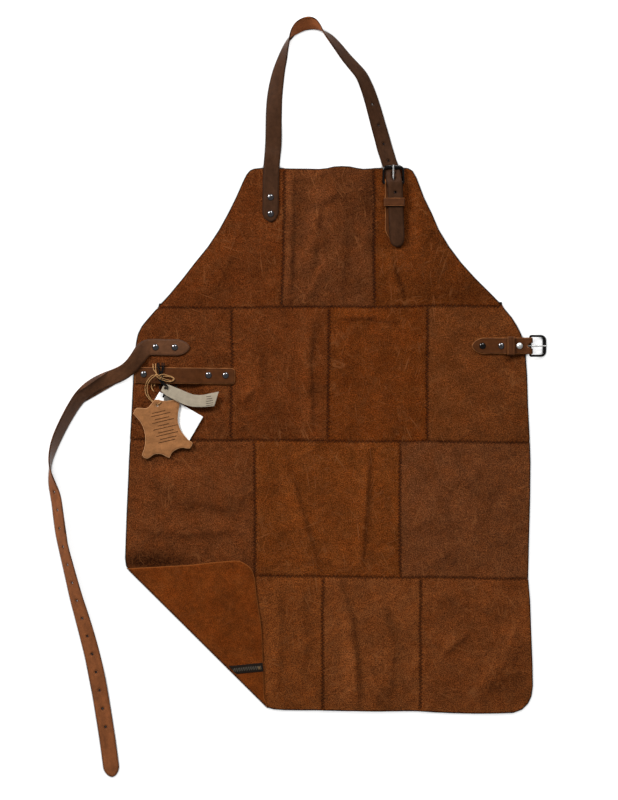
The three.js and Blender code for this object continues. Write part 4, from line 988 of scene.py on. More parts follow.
top_y = 343.9
PANELS = {}
PANELS["bib_panel_left"] = (
    [(v_x("bib_left", top_y) - half, top_y)] + LEFT_BIB + cut_h("bib", -209.9, xb1 - half, half) + cut_v("bib_left", yb1 + half, top_y, -half)[1:-1]
)
mid_top = [q for q in TOP_EDGE if v_x("bib_left", top_y) + 2 < q[0] < v_x("bib_right", top_y) - 2]
PANELS["bib_panel_centre"] = (
    [(v_x("bib_right", top_y) - half, 343.7)] + mid_top + [(v_x("bib_left", top_y) + half, 343.4)]
    + cut_v("bib_left", top_y - 3, yb1 + half, half) + cut_h("bib", xb1 + half + 2, xb2 - half, half) + cut_v("bib_right", yb2 + half, top_y - 2, -half)[1:]
)
PANELS["bib_panel_right"] = (
    [(v_x("bib_right", top_y) + half, top_y)] + cut_v("bib_right", top_y - 3, yb2 + half, half) + cut_h("bib", xb2 + half + 2, 308.8, half) + RIGHT_BIB[::-1]
)
PANELS["waist_panel_a"] = LEFT_2 + cut_h("waist", -250.9, wa2[0] - half, half) + cut_v("waist_a", wa2[1] + half, wa[1] - half, -half)[1:] + cut_h("bib", wa[0] - half - 3, -208.6, -half)
PANELS["waist_panel_b"] = cut_v("waist_a", wa[1] - half, wa2[1] + half, half) + cut_h("waist", wa2[0] + half + 3, wb2[0] - half, half) + cut_v("waist_b", wb2[1] + half, wb[1] - half, -half)[1:] + cut_h("bib", wb[0] - half - 3, wa[0] + half + 3, -half)
PANELS["waist_panel_c"] = cut_v("waist_b", wb[1] - half, wb2[1] + half, half) + cut_h("waist", wb2[0] + half + 3, wc2[0] - half, half) + cut_v("waist_c", wc2[1] + half, wc[1] - half, -half)[1:] + cut_h("bib", wc[0] - half - 3, wb[0] + half + 3, -half)
PANELS["waist_panel_d"] = cut_v("waist_c", wc[1] - half, wc2[1] + half, half) + cut_h("waist", wc2[0] + half + 3, 347.8, half) + RIGHT_2[::-1] + cut_h("bib", 307.4, wc[0] + half + 3, -half)
PANELS["thigh_panel_a"] = LEFT_3[:-1] + [tuple(fold_point(-1.2, IN))] + [tuple(fold_point(s, IN)) for s in np.linspace(3, float((hem_start - FOLD_A) @ FOLD_D) - 1.5, 3)] + cut_h("hem", hem_start[0] + 0.3, ta2[0] - half, half) + cut_v("thigh_a", ta2[1] + half, ta[1] - half, -half)[1:] + cut_h("waist", ta[0] - half - 3, -250.4, -half)
PANELS["thigh_panel_b"] = cut_v("thigh_a", ta[1] - half, ta2[1] + half, half) + cut_h("hem", ta2[0] + half + 3, tb2[0] - half, half) + cut_v("thigh_b", tb2[1] + half, tb[1] - half, -half)[1:] + cut_h("waist", tb[0] - half - 3, ta[0] + half + 3, -half)
PANELS["thigh_panel_c"] = cut_v("thigh_b", tb[1] - half, tb2[1] + half, half) + cut_h("hem", tb2[0] + half + 3, 345.7, half) + RIGHT_3[::-1] + cut_h("waist", 346.6, tb[0] + half + 3, -half)
fa = fold_at_x(ha[0] - half)
fb = fold_at_x(ha[0] + half)
PANELS["hem_panel_a"] = [tuple(hem_start + (0.3, -0.6))] + [tuple(fold_point(s, IN)) for s in np.linspace(float((hem_start - FOLD_A) @ FOLD_D) + 2, float((fa - FOLD_A) @ FOLD_D), 30)] + cut_v("hem_a", fa[1] + 3, ha[1] - half, -half) + cut_h("hem", ha[0] - half - 3, hem_start[0] + 2.5, -half)
PANELS["hem_panel_b"] = cut_v("hem_a", ha[1] - half, fb[1] + 2, half) + [tuple(fold_point(s, IN)) for s in np.linspace(float((fb - FOLD_A) @ FOLD_D), FOLD_L - 0.5, 14)] + [tuple(fold_point(FOLD_L + 1.2, IN))] + [q for q in BOTTOM[::-1] if q[0] < hb[0] - 3] + cut_v("hem_b", -469.1, hb[1] - half, -half) + cut_h("hem", hb[0] - half - 3, ha[0] + half + 3, -half)
PANELS["hem_panel_c"] = cut_v("hem_b", hb[1] - half, -469.3, half) + [q for q in BOTTOM[::-1] if hb[0] + 3 < q[0] < hc[0] - 3] + cut_v("hem_c", -470.3, hc[1] - half, -half) + cut_h("hem", hc[0] - half - 3, hb[0] + half + 3, -half)
PANELS["hem_panel_d"] = cut_v("hem_c", hc[1] - half, -470.6, half) + [q for q in BOTTOM[::-1] if q[0] > hc[0] + 3] + RIGHT_4[::-1] + cut_h("hem", 344.9, hc[0] + half + 3, -half)

SEAM_LINES = [seam_points("h", "bib", -210.8, 309.7, 6), seam_points("h", "waist", -252.8, 348.7, 6), seam_points("h", "hem", hem_start[0] - 4, 347.2, 6)]
for name, (a, b) in {
    "bib_left": (top_y + 4, yb1), "bib_right": (top_y + 4, yb2), "waist_a": (wa[1], wa2[1]), "waist_b": (wb[1], wb2[1]), "waist_c": (wc[1], wc2[1]),
    "thigh_a": (ta[1], ta2[1]), "thigh_b": (tb[1], tb2[1]), "hem_a": (ha[1], fa[1]), "hem_b": (hb[1], -470.3), "hem_c": (hc[1], -471.8),
}.items():
    SEAM_LINES.append(seam_points("v", name, a, b, 6))

# one dye tone for each cut panel, with listed darker and lighter areas, partly uneven dye and partly painted shade
TINTS = {
    "bib_panel_left": (95, 47, 18), "bib_panel_centre": (92, 50, 25), "bib_panel_right": (94, 46, 14),
    "waist_panel_a": (94, 48, 20), "waist_panel_b": (99, 50, 20), "waist_panel_c": (101, 49, 15), "waist_panel_d": (102, 55, 24),
    "thigh_panel_a": (102, 55, 26), "thigh_panel_b": (112, 58, 21), "thigh_panel_c": (105, 60, 32),
    "hem_panel_a": (97, 50, 22), "hem_panel_b": (115, 62, 26), "hem_panel_c": (115, 64, 30), "hem_panel_d": (112, 61, 28),
    "flap": (114, 56, 18),
}
TONE_AND_SHADE_PATCHES = [  # x, y, half width, half height, factor
    (*(101.2, 300.7), 11, 17, 0.50), (*(111.7, 243.7), 7, 22, 0.72), (*(2.2, 308.2), 7, 30, 0.82), (*(41.2, 231.7), 4, 16, 0.80),
    (*(29.2, 236.2), 7, 24, 1.14), (*(53.2, 321.7), 20, 16, 1.12), (*(252.7, 152.2), 36, 10, 0.80), (*(225.7, 161.2), 20, 14, 0.90),
    (*(156.7, 168.7), 10, 24, 0.86), (*(131.2, 213.7), 5, 30, 0.90), (*(-114.8, 221.2), 12, 9, 1.12), (*(3.7, 146.2), 22, 8, 0.88),
    (*(21.7, 74.2), 4, 30, 0.82), (*(18.7, -18.8), 5, 30, 1.12), (*(191.2, 56.2), 12, 20, 0.9), (*(141.7, -11.3), 10, 14, 0.86),
    # the three darkest patches, at about x -215 to -236 and y -242 to -250 above the turned-over corner, are painted
    # shadow of the fold
    (*(-18.8, -51.8), 12, 9, 0.76), (*(146.2, 113.2), 10, 8, 0.88), (*(236.2, 26.2), 28, 40, 1.06), (*(-215.3, -242.3), 44, 9, 0.40), (*(-227.3, -249.8), 34, 6, 0.50),
    (*(-236.3, -243.8), 18, 8, 0.62), (*(-126.8, -138.8), 18, 18, 0.86), (*(-44.3, -108.8), 10, 40, 0.86), (*(-11.3, -86.3), 9, 14, 1.10),
    (*(-29.3, -221.3), 12, 30, 0.88), (*(-14.3, -318.8), 6, 50, 0.80), (*(81.7, -363.8), 9, 60, 1.14), (*(56.2, -291.8), 14, 10, 0.80),
    (*(123.7, -446.3), 10, 22, 0.80), (*(303.7, -423.8), 26, 26, 0.86), (*(213.7, -146.3), 20, 22, 1.10), (*(303.7, -243.8), 24, 12, 1.10),
    (*(273.7, -123.8), 14, 22, 0.88), (*(-53.3, -266.3), 20, 8, 0.80), (*(-101.3, -303.8), 26, 26, 0.90), (*(-98.3, -363.8), 14, 30, 0.86),
    (*(-183.8, -288.8), 26, 12, 1.06), (*(-138.8, -206.3), 30, 8, 1.08), (*(-86.3, -198.8), 10, 14, 1.08), (*(219.7, -78.8), 8, 20, 0.88),
    (*(-138.8, 48.7), 30, 14, 0.92), (*(326.2, -153.8), 10, 60, 0.95), (*(78.7, 26.2), 14, 30, 0.95), (*(36.7, -453.8), 8, 14, 0.8),
]


def tint(name):
    base = np.array(tone(*TINTS[name]))

    def f(pts):
        x, y = pts[:, 0], pts[:, 1]
        k = np.ones(len(pts)) * (1.05 if name.startswith("hem") else 1.0) + 0.06 * soft_noise(x, y, 60, sum(map(ord, name)))
        for bx, by, rx, ry, v in TONE_AND_SHADE_PATCHES:
            k *= 1 + (v - 1) * np.exp(-0.5 * (((x - bx) / rx) ** 2 + ((y - by) / ry) ** 2))
        # painted light and shade: slopes that face the key light at the upper left are painted lighter, slopes facing
        # away darker
        gx = (lie(x + 1.0, y) - lie(x - 1.0, y)) / 2
        gy = (lie(x, y + 1.0) - lie(x, y - 1.0)) / 2
        k *= np.clip(1 + 0.9 * gx - 0.7 * gy, 0.64, 1.36)
        seam = np.full(len(pts), 99.0)
        for line in SEAM_LINES:
            seam = np.minimum(seam, distance_to(line, pts, closed=False))
        return {"tint": base[None, :] * k[:, None], "seam": np.minimum(seam, 30)}

    return f


def by_fold(pts):
    """Points on the line where the turned-over corner's bend takes over from the flat panels."""
    p = (pts - FOLD_A) @ FOLD_N
    s = (pts - FOLD_A) @ FOLD_D
    return (np.abs(p - IN) < 0.4) & (s > -4) & (s < FOLD_L + 4)


def by_seam(pts):
    """Edges that butt against a neighbour, which are pressed nearly level."""
    d = np.full(len(pts), 99.0)
    for line in SEAM_LINES:
        d = np.minimum(d, distance_to(line, pts, closed=False))
    return d < 1.0


areas = {}
for k, (node, outline) in enumerate(PANELS.items()):
    body = densify([tuple(q) for q in outline], 3.4)
    o, area = sheet("suede_" + node, body, on_table, PANEL_T, SUEDE, step=3.3, ring=0.55, edge=0.42, flat_edge=by_fold, low_edge=by_seam, attributes=tint(node), seed=20 + k)
    place_on(o, "apron", (node,))
    size = body.max(0) - body.min(0)
    areas[node] = (size, area)

# ------------------------------------------------------------------ the turned-over corner
TURN_R = 1.1
ARC = math.pi * TURN_R
MID_Z = 2.8


def corner_map(pts, off):
    """Flat coordinates are (s along the fold, v): v below 0 is the flat start, 0 to ARC the bend, and beyond it the part that lies on top."""
    s, v = pts[:, 0], pts[:, 1]
    off = np.broadcast_to(off, len(pts))
    # off is measured towards the outer, flesh side
    f = np.clip(v / TURN_R, 0, math.pi)
    r = TURN_R + off
    p = IN - r * np.sin(f)
    z = MID_Z - r * np.cos(f)
    p = np.where(v < 0, IN - v, np.where(v > ARC, IN + (v - ARC), p))
    q = FOLD_A[None, :] + FOLD_D[None, :] * s[:, None] + FOLD_N[None, :] * p[:, None]
    lift = np.clip((v - ARC) / 30, 0, 1) ** 2
    wavy = lift * (0.5 + 0.5 * soft_noise(q[:, 0], q[:, 1], 70, 31)) * 0.35
    tip = np.exp(-0.5 * (((q[:, 0] - (-77.3)) / 30) ** 2 + ((q[:, 1] - (-258.8)) / 34) ** 2)) * 0.75
    tip = tip + np.exp(-0.5 * (((q[:, 0] - (-53.3)) / 14) ** 2)) * 0.2
    z = z + np.where(v > ARC, np.maximum(wavy, 0) + tip * lift, 0)
    return np.stack([q[:, 0], q[:, 1], z], 1)


def to_flat(q):
    """A point of the plan of the lying corner, in the corner's flat coordinates."""
    d = np.array(q, float) - FOLD_A
    return (float(d @ FOLD_D), float(d @ FOLD_N) - IN + ARC)


plan = smooth_closed(FLAP_PLAN[3:7], 1)
upper = [to_flat(q) for q in FLAP_PLAN[1:-1]]
corner_round = np.array(upper)
curve = catmull(corner_round, 6)
flat_corner = [(-0.2, 0.0), (-0.6, ARC * 0.5), (0.4, ARC)] + [tuple(q) for q in curve] + [(FOLD_L - 0.6, ARC), (FOLD_L + 0.5, ARC * 0.5), (FOLD_L + 0.2, 0.0)]
flat_corner = np.array(flat_corner[::-1])
lo, hi = flat_corner.min(0), flat_corner.max(0)
rows = np.concatenate([np.linspace(0.35, ARC - 0.35, 8), np.arange(ARC + 0.9, ARC + 5, 1.4), np.arange(ARC + 5.5, hi[1], 3.6)])
gs = np.concatenate([[(s + (i % 2) * 1.8, v) for s in np.arange(lo[0], hi[0], 3.6)] for i, v in enumerate(rows)])


def flap_attributes(pts):
    x = corner_map(pts, 0)
    base = np.array(tone(*TINTS["flap"]))
    k = np.ones(len(pts)) + 0.06 * soft_noise(x[:, 0], x[:, 1], 50, 5)
    for bx, by, rx, ry, v in TONE_AND_SHADE_PATCHES:
        if v < 0.8:
            continue
        k *= 1 + (v - 1) * np.exp(-0.5 * (((x[:, 0] - bx) / rx) ** 2 + ((x[:, 1] - by) / ry) ** 2))
    # the bend itself is painted dark, a painted shade where the corner curls over
    k *= 1 - 0.9 * np.clip((ARC + 0.5 - pts[:, 1]) / 0.8, 0, 1)
    a, b = np.array((-98.0, -409.1)), np.array((-51.5, -404.6))
    return {"tint": base[None, :] * k[:, None], "seam": np.minimum(distance_to(np.array([a, b]), x[:, :2], closed=False), 30)}


def bend_start(pts):
    return pts[:, 1] < 0.3


corner, corner_area = sheet(
    "suede_turned_corner", densify(flat_corner, 2.6), corner_map, PANEL_T, SUEDE_BACK, step=3.2, ring=0.5, edge=0.42, flat_edge=bend_start, attributes=flap_attributes, grid=gs, seed=5
)
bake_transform(corner)
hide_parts("flap_panel_a", "flap_panel_b")

# the black tape on the back of the seam, where the corner shows it
tape_plan = [(-103.4, -402.7), (-92.0, -414.4), (-50.9, -410.6), (-52.4, -397.4)]
tape_flat = densify([to_flat(q) for q in tape_plan], 2.2)


def on_corner(lift):
    return lambda pts, off: corner_map(pts, PANEL_T / 2 + lift + np.broadcast_to(off, len(pts)))


tape, _ = sheet("corner_seam_tape", tape_flat, on_corner(0.35), 0.5, TAPE, step=2.2, ring=0.3, edge=0.1)
place_on(tape, "folded_corner", ("flap_seam_tape",))


# ------------------------------------------------------------------ zigzag stitching
def zigzag(name, line, surface, material, wide=2.9, pitch=5.6, r=0.34, high=0.12, start=1.5, end=1.5, seed=1, box=None):
    """Stitches that cross the line from side to side. surface(points) gives the height that they lie on."""
    rg = np.random.default_rng(seed)
    line = np.asarray(line, float)
    run = np.concatenate([[0], np.cumsum(np.linalg.norm(np.diff(line, axis=0), axis=1))])
    s = np.arange(start, run[-1] - end, pitch / 2)
    if len(s) < 3:
        return None
    at = np.stack([np.interp(s, run, line[:, 0]), np.interp(s, run, line[:, 1])], 1)
    d = np.gradient(at, axis=0)
    d /= np.linalg.norm(d, axis=1)[:, None]
    nrm = np.stack([-d[:, 1], d[:, 0]], 1)
    side = np.where(np.arange(len(s)) % 2 == 0, 1.0, -1.0)
    pts = at + nrm * (side * wide * (1 + rg.uniform(-0.07, 0.07, len(s))))[:, None]
    k = 5
    co, faces, uv = [], [], []
    ts = np.array([0.0, 0.14, 0.5, 0.86, 1.0])
    dz = np.array([-0.9, 0.15, 1.0, 0.15, -0.9])
    a, b = pts[:-1], pts[1:]
    every = a[:, None, :] + (b - a)[:, None, :] * ts[None, :, None]
    z = surface(every.reshape(-1, 2)).reshape(len(a), 5) + dz[None, :] * high
    for i in range(len(a)):
        t = b[i] - a[i]
        t = t / max(np.linalg.norm(t), 1e-9)
        nx, ny = -t[1], t[0]
        base = len(co)
        for j in range(5):
            rr = r * (0.75 if j in (0, 4) else 1.0)
            for q in range(k):
                f = 2 * math.pi * q / k
                co.append((every[i, j, 0] + nx * rr * math.cos(f), every[i, j, 1] + ny * rr * math.cos(f), z[i, j] + rr * 0.8 * math.sin(f)))
                uv.append((ts[j] * 6 + i * 7.3, q * 0.4))
        for j in range(4):
            for q in range(k):
                l = (q + 1) % k
                faces.append((base + j * k + q, base + j * k + l, base + (j + 1) * k + l, base + (j + 1) * k + q))
        faces.append(tuple(base + q for q in range(k))[::-1])
        faces.append(tuple(base + 4 * k + q for q in range(k)))
    return mesh_object(name, co, faces, material, uv, None, 0)


def front(pts):
    return PANEL_Z1 + lie(pts[:, 0], pts[:, 1]) + 0.02


def rear(pts):
    return lie(pts[:, 0], pts[:, 1]) + 0.06


SEAM_RUNS = {
    "bib": seam_points("h", "bib", -207.8, 306.7, 5), "waist": seam_points("h", "waist", -250.6, 347.2, 5), "hem": seam_points("h", "hem", -59.3, 344.9, 5),
    "bib_left": seam_points("v", "bib_left", 341.9, yb1 + 2, 5), "bib_right": seam_points("v", "bib_right", 341.9, yb2 + 2, 5),
    "waist_a": seam_points("v", "waist_a", wa[1] - 2, wa2[1] + 2, 5), "waist_b": seam_points("v", "waist_b", wb[1] - 2, wb2[1] + 2, 5), "waist_c": seam_points("v", "waist_c", wc[1] - 2, wc2[1] + 2, 5),
    "thigh_a": seam_points("v", "thigh_a", ta[1] - 2, ta2[1] + 2, 5), "thigh_b": seam_points("v", "thigh_b", tb[1] - 2, tb2[1] + 2, 5),
    "hem_b": seam_points("v", "hem_b", hb[1] - 2, -468.1, 5), "hem_c": seam_points("v", "hem_c", hc[1] - 2, -469.3, 5),
}
for k, (name, line) in enumerate(SEAM_RUNS.items()):
    o = zigzag("stitching_" + name, line, front, THREAD, wide=2.5 if name in H_SEAMS else 2.8, r=0.27 if name in H_SEAMS else 0.35, seed=40 + k)
    place_on(o, "apron")

# backing tapes, with their own rows of zigzag on the underside
TW = 6.5


def tape_map(pts, off):
    z = 0.3 + np.broadcast_to(off, len(pts)) + lie(pts[:, 0], pts[:, 1])
    return np.stack([pts[:, 0], pts[:, 1], z], 1)


def tape_outline(line, wide=TW):
    line = np.asarray(line, float)
    d = np.gradient(line, axis=0)
    d /= np.linalg.norm(d, axis=1)[:, None]
    nrm = np.stack([-d[:, 1], d[:, 0]], 1)
    return np.concatenate([line + nrm * wide, (line - nrm * wide)[::-1]])


TAPE_RUNS = dict(SEAM_RUNS)
TAPE_RUNS["hem"] = seam_points("h", "hem", -240.8, 344.9, 5)
TAPE_RUNS["hem_a"] = seam_points("v", "hem_a", ha[1] - TW - 0.4, -396.8, 5)
for name in TAPE_RUNS:
    if name not in ("bib", "waist", "hem", "hem_a"):
        line = TAPE_RUNS[name]
        first = {"bib": 341.9}.get(name.split("_")[0])
        top_cut = 4.8 if first is None else 0.0
        low_cut = 4.8 if not name.startswith("hem") else 0.0
        run = np.concatenate([[0], np.cumsum(np.linalg.norm(np.diff(line, axis=0), axis=1))])
        t = np.linspace(top_cut, run[-1] - low_cut, len(line))
        TAPE_RUNS[name] = np.stack([np.interp(t, run, line[:, 0]), np.interp(t, run, line[:, 1])], 1)
for k, (name, line) in enumerate(TAPE_RUNS.items()):
    outline = tape_outline(line)
    holes = []
    if name == "waist_a":
        c = (-107.9, 33.1)
        d = np.linalg.norm(outline - c, axis=1)
        outline = np.array([c + (q - c) / max(np.linalg.norm(q - c), 1e-6) * max(np.linalg.norm(q - c), 4.7) if abs(q[1] - c[1]) < 6 and q[0] < c[0] + 6 else q for q in densify(outline, 1.2)])
    o, _ = sheet("backing_tape_" + name, densify(outline, 4), tape_map, TAPE_T - 0.1, TAPE, step=4.5, ring=0.4, edge=0.12, seed=60 + k)
    place_on(o, "apron", () if name == "hem_a" else ("seam_tape_" + name,))
    o = zigzag("tape_stitching_" + name, line, rear, GREY_THREAD, wide=3.2, pitch=3.6, r=0.3, high=-0.25, seed=80 + k)
    place_on(o, "apron")

flap_line = [to_flat(q) for q in ((-97.1, -408.8), (-52.4, -404.6))]


def zig_on_corner(name, line, wide, pitch, material, r, seed):
    """The same stitch, laid on the turned-over corner's tape."""
    o = zigzag(name, line, lambda p: np.zeros(len(p)), material, wide=wide, pitch=pitch, r=r, high=0.25, start=0.5, end=0.5, seed=seed)
    co = np.array([v.co for v in o.data.vertices]) / MM
    new = corner_map(co[:, :2], PANEL_T / 2 + 0.66 + co[:, 2])
    o.data.vertices.foreach_set("co", (new * MM).astype(np.float32).ravel())
    place_on(o, "folded_corner")
    return o


zig_on_corner("corner_tape_zigzag", flap_line, 3.0, 2.6, GREY_THREAD, 0.3, 91)
lock = [to_flat(q) for q in ((-59.6, -405.7), (-54.5, -405.1))]
zig_on_corner("corner_tape_lockstitch", lock, 2.6, 1.2, TAN_THREAD, 0.32, 92)

# ------------------------------------------------------------------ straps
NECK_STATIONS = [
    (-40.7, 262.6, 2.8, 0), (-40.3, 288.7, 2.8, 0), (-40.1, 318.7, 2.8, 0), (-39.4, 341.2, 2.8, 0), (-38.5, 351.7, 2.8, 0), (-37.9, 358.7, 2.8, 0), (-37.3, 365.2, 2.3, 0), (-36.5, 374.2, 0.8, 0), (-35.9, 386.2, 0.2, 2), (-35.6, 405.7, 0.2, 6), (-35.3, 428.2, 0.2, 12), (-34.1, 449.2, 0.2, 19),
    (-30.8, 473.2, 0.2, 31), (-27.1, 491.2, 0.2, 43), (-22.4, 507.7, 0.2, 54), (-17.6, 524.2, 0.2, 70), (-12.5, 537.7, 0.2, 84), (-6.8, 547.0, 0.2, 108), (-0.2, 553.6, 0.2, 128),
    (8.2, 558.7, 0.2, 136), (17.6, 561.1, 0.2, 140), (24.7, 559.9, 0.2, 130), (31.6, 555.4, 0.2, 106), (38.9, 548.2, 0.2, 82), (49.4, 538.3, 0.2, 64), (60.7, 524.9, 0.2, 56),
    (72.7, 509.2, 0.2, 50), (83.9, 496.4, 0.2, 45), (95.2, 482.9, 0.2, 41), (103.1, 466.4, 0.2, 34), (109.3, 449.2, 0.2, 28), (115.6, 428.2, 0.2, 22), (121.3, 407.2, 0.2, 16), (127.3, 386.2, 0.2, 9),
    (130.7, 373.6, 0.9, 4), (133.6, 364.9, 2.4, 0), (135.5, 358.7, 2.8, 0),
    (*(137.6, 351.7, 3.9, 0), 1), (*(140.2, 345.2, 3.9, 0), 1), (*(142.1, 339.1, 4.15, 0), 1), (*(143.3, 334.6, 6.2, 0), 1), (*(144.2, 329.5, 10, 0), 1), (*(144.8, 325.3, 12.6, 0), 1),
    (*(145.4, 320.9, 13.1, 0), 1), (*(146.0, 314.9, 12.4, 0), 1), (*(146.5, 307.4, 11.4, 0), 1), (*(146.8, 293.9, 10.95, 0), 1), (*(147.2, 284.2, 9.7, 0), 1), (*(147.7, 275.2, 9, 0), 1), (*(148.1, 263.2, 8.9, 0), 1), (*(148.7, 248.2, 8.2, 0), 1), (*(149.2, 236.2, 6.9, 0), 1), (*(149.6, 225.1, 5.3, 0), 1),
]
neck = Ribbon(NECK_STATIONS, STRAP_W, STRAP_T)
WAIST_STATIONS = [
    (-160.7, 74.8, 2.8, 0), (-176.3, 74.9, 2.8, 0), (-198.8, 75.2, 2.8, 0), (-216.1, 75.5, 2.8, 0), (-221.0, 75.5, 2.8, 0), (-225.8, 74.5, 2.9, 4), (-232.6, 68.8, 3.9, 16), (-239.3, 59.2, 5.6, 26), (-247.7, 48.4, 6, 30), (-258.4, 39.2, 3.8, 30), (-270.8, 32.8, 0.8, 28), (-288.8, 25.9, 0.2, 28),
    (-304.6, 18.1, 0.2, 31), (-315.8, 10.3, 0.2, 37), (-325.6, 0.7, 0.2, 43), (-333.8, -10.6, 0.2, 48), (-341.3, -23.0, 0.2, 51), (-348.8, -36.8, 0.2, 54), (-354.8, -48.8, 0.2, 56), (-360.1, -60.8, 0.2, 59),
    (-364.6, -72.8, 0.2, 65), (-368.3, -86.3, 0.2, 75), (-370.3, -98.3, 0.2, 85), (-370.4, -108.8, 0.2, 96), (-368.9, -120.8, 0.2, 110), (-366.2, -132.8, 0.2, 122), (-362.9, -144.8, 0.2, 130), (-360.2, -159.8, 0.2, 132),
    (-357.8, -180.8, 0.2, 131), (-354.5, -204.8, 0.2, 130), (-349.4, -228.8, 0.2, 130), (-343.4, -252.8, 0.2, 134), (-337.4, -276.8, 0.2, 139), (-330.8, -302.3, 0.2, 146), (-323.3, -327.8, 0.2, 154), (-314.9, -357.8, 0.2, 163),
    (-306.5, -390.8, 0.2, 171), (-299.3, -425.3, 0.2, 177), (-292.4, -465.8, 0.2, 180), (-284.9, -513.8, 0.2, 180), (-277.4, -569.8, 0.2, 180),
]
waist = Ribbon(WAIST_STATIONS, STRAP_W, STRAP_T)


def strap_outline(a, b, w0, w1, tip0=None, tip1=None, step=3.0, blunt=False):
    """A strap from a to b, w0 and w1 wide, with tips given as (length, [(share of length, share of half width)...])."""
    def tip(n, prof):
        return [(n * f, g) for f, g in prof]
    pointed = [(0.0, 0.0), (0.05, 0.20), (0.16, 0.42), (0.33, 0.64), (0.55, 0.82), (0.8, 0.95), (1.0, 1.0)]
    round_end = [(0.0, 0.0), (0.02, 0.22), (0.07, 0.42), (0.17, 0.62), (0.34, 0.80), (0.6, 0.94), (1.0, 1.0)] if blunt else pointed
    right, left = [], []
    if tip0:
        for f, g in tip(tip0, pointed):
            right.append((a + f, -g * w0 / 2))
            left.append((a + f, g * w0 / 2))
        left = left[1:]
    else:
        right, left = [(a, -w0 / 2)], [(a, w0 / 2)]
    if tip1:
        for f, g in tip(tip1, round_end)[::-1]:
            right.append((b - f, -g * w1 / 2))
            left.append((b - f, g * w1 / 2))
        left = left[:-1]
    else:
        right.append((b, -w1 / 2))
        left.append((b, w1 / 2))
    return densify(right + left[::-1], step)


def half_width(points, a, b, w0, w1):
    return points


n0 = neck.where(1, 358.7, 0, 120)
n1 = neck.where(1, 358.7, 300)
holes_at = [neck.where(1, y, 300) for y in (439.3, 408.1, 380.0, 354.8, 307.3)]
slot_mid = (neck.where(1, 325.6, 300) + neck.where(1, 338.5, 300)) / 2
slot_half = abs(neck.where(1, 325.6, 300) - neck.where(1, 338.5, 300)) / 2
prong_v = 0.3
neck_holes = [circle(s, 0, 1.45) for s in holes_at] + [slot_outline(slot_mid, 0.2, slot_half - 2.2, 2.1)]
# the arch at the top of the neck loop is painted lighter through its shade attribute, painted light
neck_strap, _ = sheet(
    "neck_strap", strap_outline(0.3, neck.length - 0.3, STRAP_W + 1, STRAP_W - 0.9, 14, 16, blunt=True), neck, STRAP_T - 0.15, NECK_L, holes=neck_holes, step=3.4, ring=0.55, edge=0.5,
    attributes=lambda pts: {"shade": 1 + 0.66 * np.clip((neck(pts, 0.0)[:, 1] - (521.2)) / 24, 0, 1)}
)
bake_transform(neck_strap)
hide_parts("neck_strap_anchor", "neck_strap_loop", "neck_strap_tail")



def waist_shade(q):
    """Painted light and shade: paler where the strap bends away and catches the light, darker where it crosses the
    apron's edge.
    """
    x, y = q[:, 0], q[:, 1]
    pale = np.exp(-0.5 * (((x - (-278.3)) / 26) ** 2 + ((y - (35.2)) / 24) ** 2))
    dark = np.exp(-0.5 * (((x - (-239.3)) / 9) ** 2)) * (y > 33.7)
    return 1 + 0.48 * pale - 0.28 * dark


waist_holes = [circle(waist.length - 76.5 - k * 27.8, 0, 1.6) for k in range(14)]
waist_strap, _ = sheet("waist_strap", strap_outline(0.3, waist.length - 0.3, CHAPE_W, STRAP_W, 19, 15), waist, STRAP_T - 0.15, WAIST_L, holes=waist_holes, step=3.4, ring=0.55, edge=0.5,
    attributes=lambda pts: {"shade": waist_shade(waist(pts, 0.0))})
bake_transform(waist_strap)
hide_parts("waist_strap_anchor", "waist_strap_free")

# ------------------------------------------------------------------ chapes, band, keepers
LOOP_R = BAR_R + 0.5 + STRAP_T / 2
UP = STRAP_ZC + STRAP_T + GAP
CHAPE_L_MM = 87.8


class Profile:
    """A strap bent only in its own length: points (u, z), turned and placed in plan."""

    def __init__(self, points, smooth, place):
        p = np.asarray(points, float)
        run = np.concatenate([[0], np.cumsum(np.linalg.norm(np.diff(p, axis=0), axis=1))])
        e = np.arange(0, run[-1] + 0.2, 0.2)
        q = np.stack([np.interp(e, run, p[:, i]) for i in range(2)], 1)
        k = max(1, int(smooth / 0.2))
        q = np.stack([np.convolve(np.pad(q[:, i], k, mode="reflect", reflect_type="odd"), np.ones(2 * k + 1) / (2 * k + 1), mode="valid") for i in range(2)], 1)
        self.q = q
        self.e = np.concatenate([[0], np.cumsum(np.linalg.norm(np.diff(q, axis=0), axis=1))])
        t = np.gradient(q, axis=0)
        t /= np.linalg.norm(t, axis=1)[:, None]
        self.n = np.stack([t[:, 1], -t[:, 0]], 1)
        self.length = float(self.e[-1])
        self.place = place

    def __call__(self, pts, off):
        u = np.interp(pts[:, 0], self.e, self.q[:, 0]) + np.interp(pts[:, 0], self.e, self.n[:, 0]) * off
        z = np.interp(pts[:, 0], self.e, self.q[:, 1]) + np.interp(pts[:, 0], self.e, self.n[:, 1]) * off
        return self.place(u, pts[:, 1], z)


chape_path = [(CHAPE_L_MM, STRAP_ZC), (39.6, STRAP_ZC), (38.9, STRAP_ZC + 0.6), (38.1, UP - 0.6), (37.4, UP), (8, UP), (5, UP + 1), (2.6, LOOP_Z + LOOP_R - 0.35)]
chape_path += [(LOOP_R * math.cos(f), LOOP_Z + LOOP_R * math.sin(f)) for f in np.linspace(math.pi / 2, 3 * math.pi / 2, 17)]
chape_path += [(4, STRAP_ZC), (21, STRAP_ZC)]


def side_place(u, v, z):
    return np.stack([SIDE[0] - u, SIDE[1] - v, z], 1)


def neck_place(u, v, z):
    return np.stack([NECK[0] + v, NECK[1] - u, z], 1)


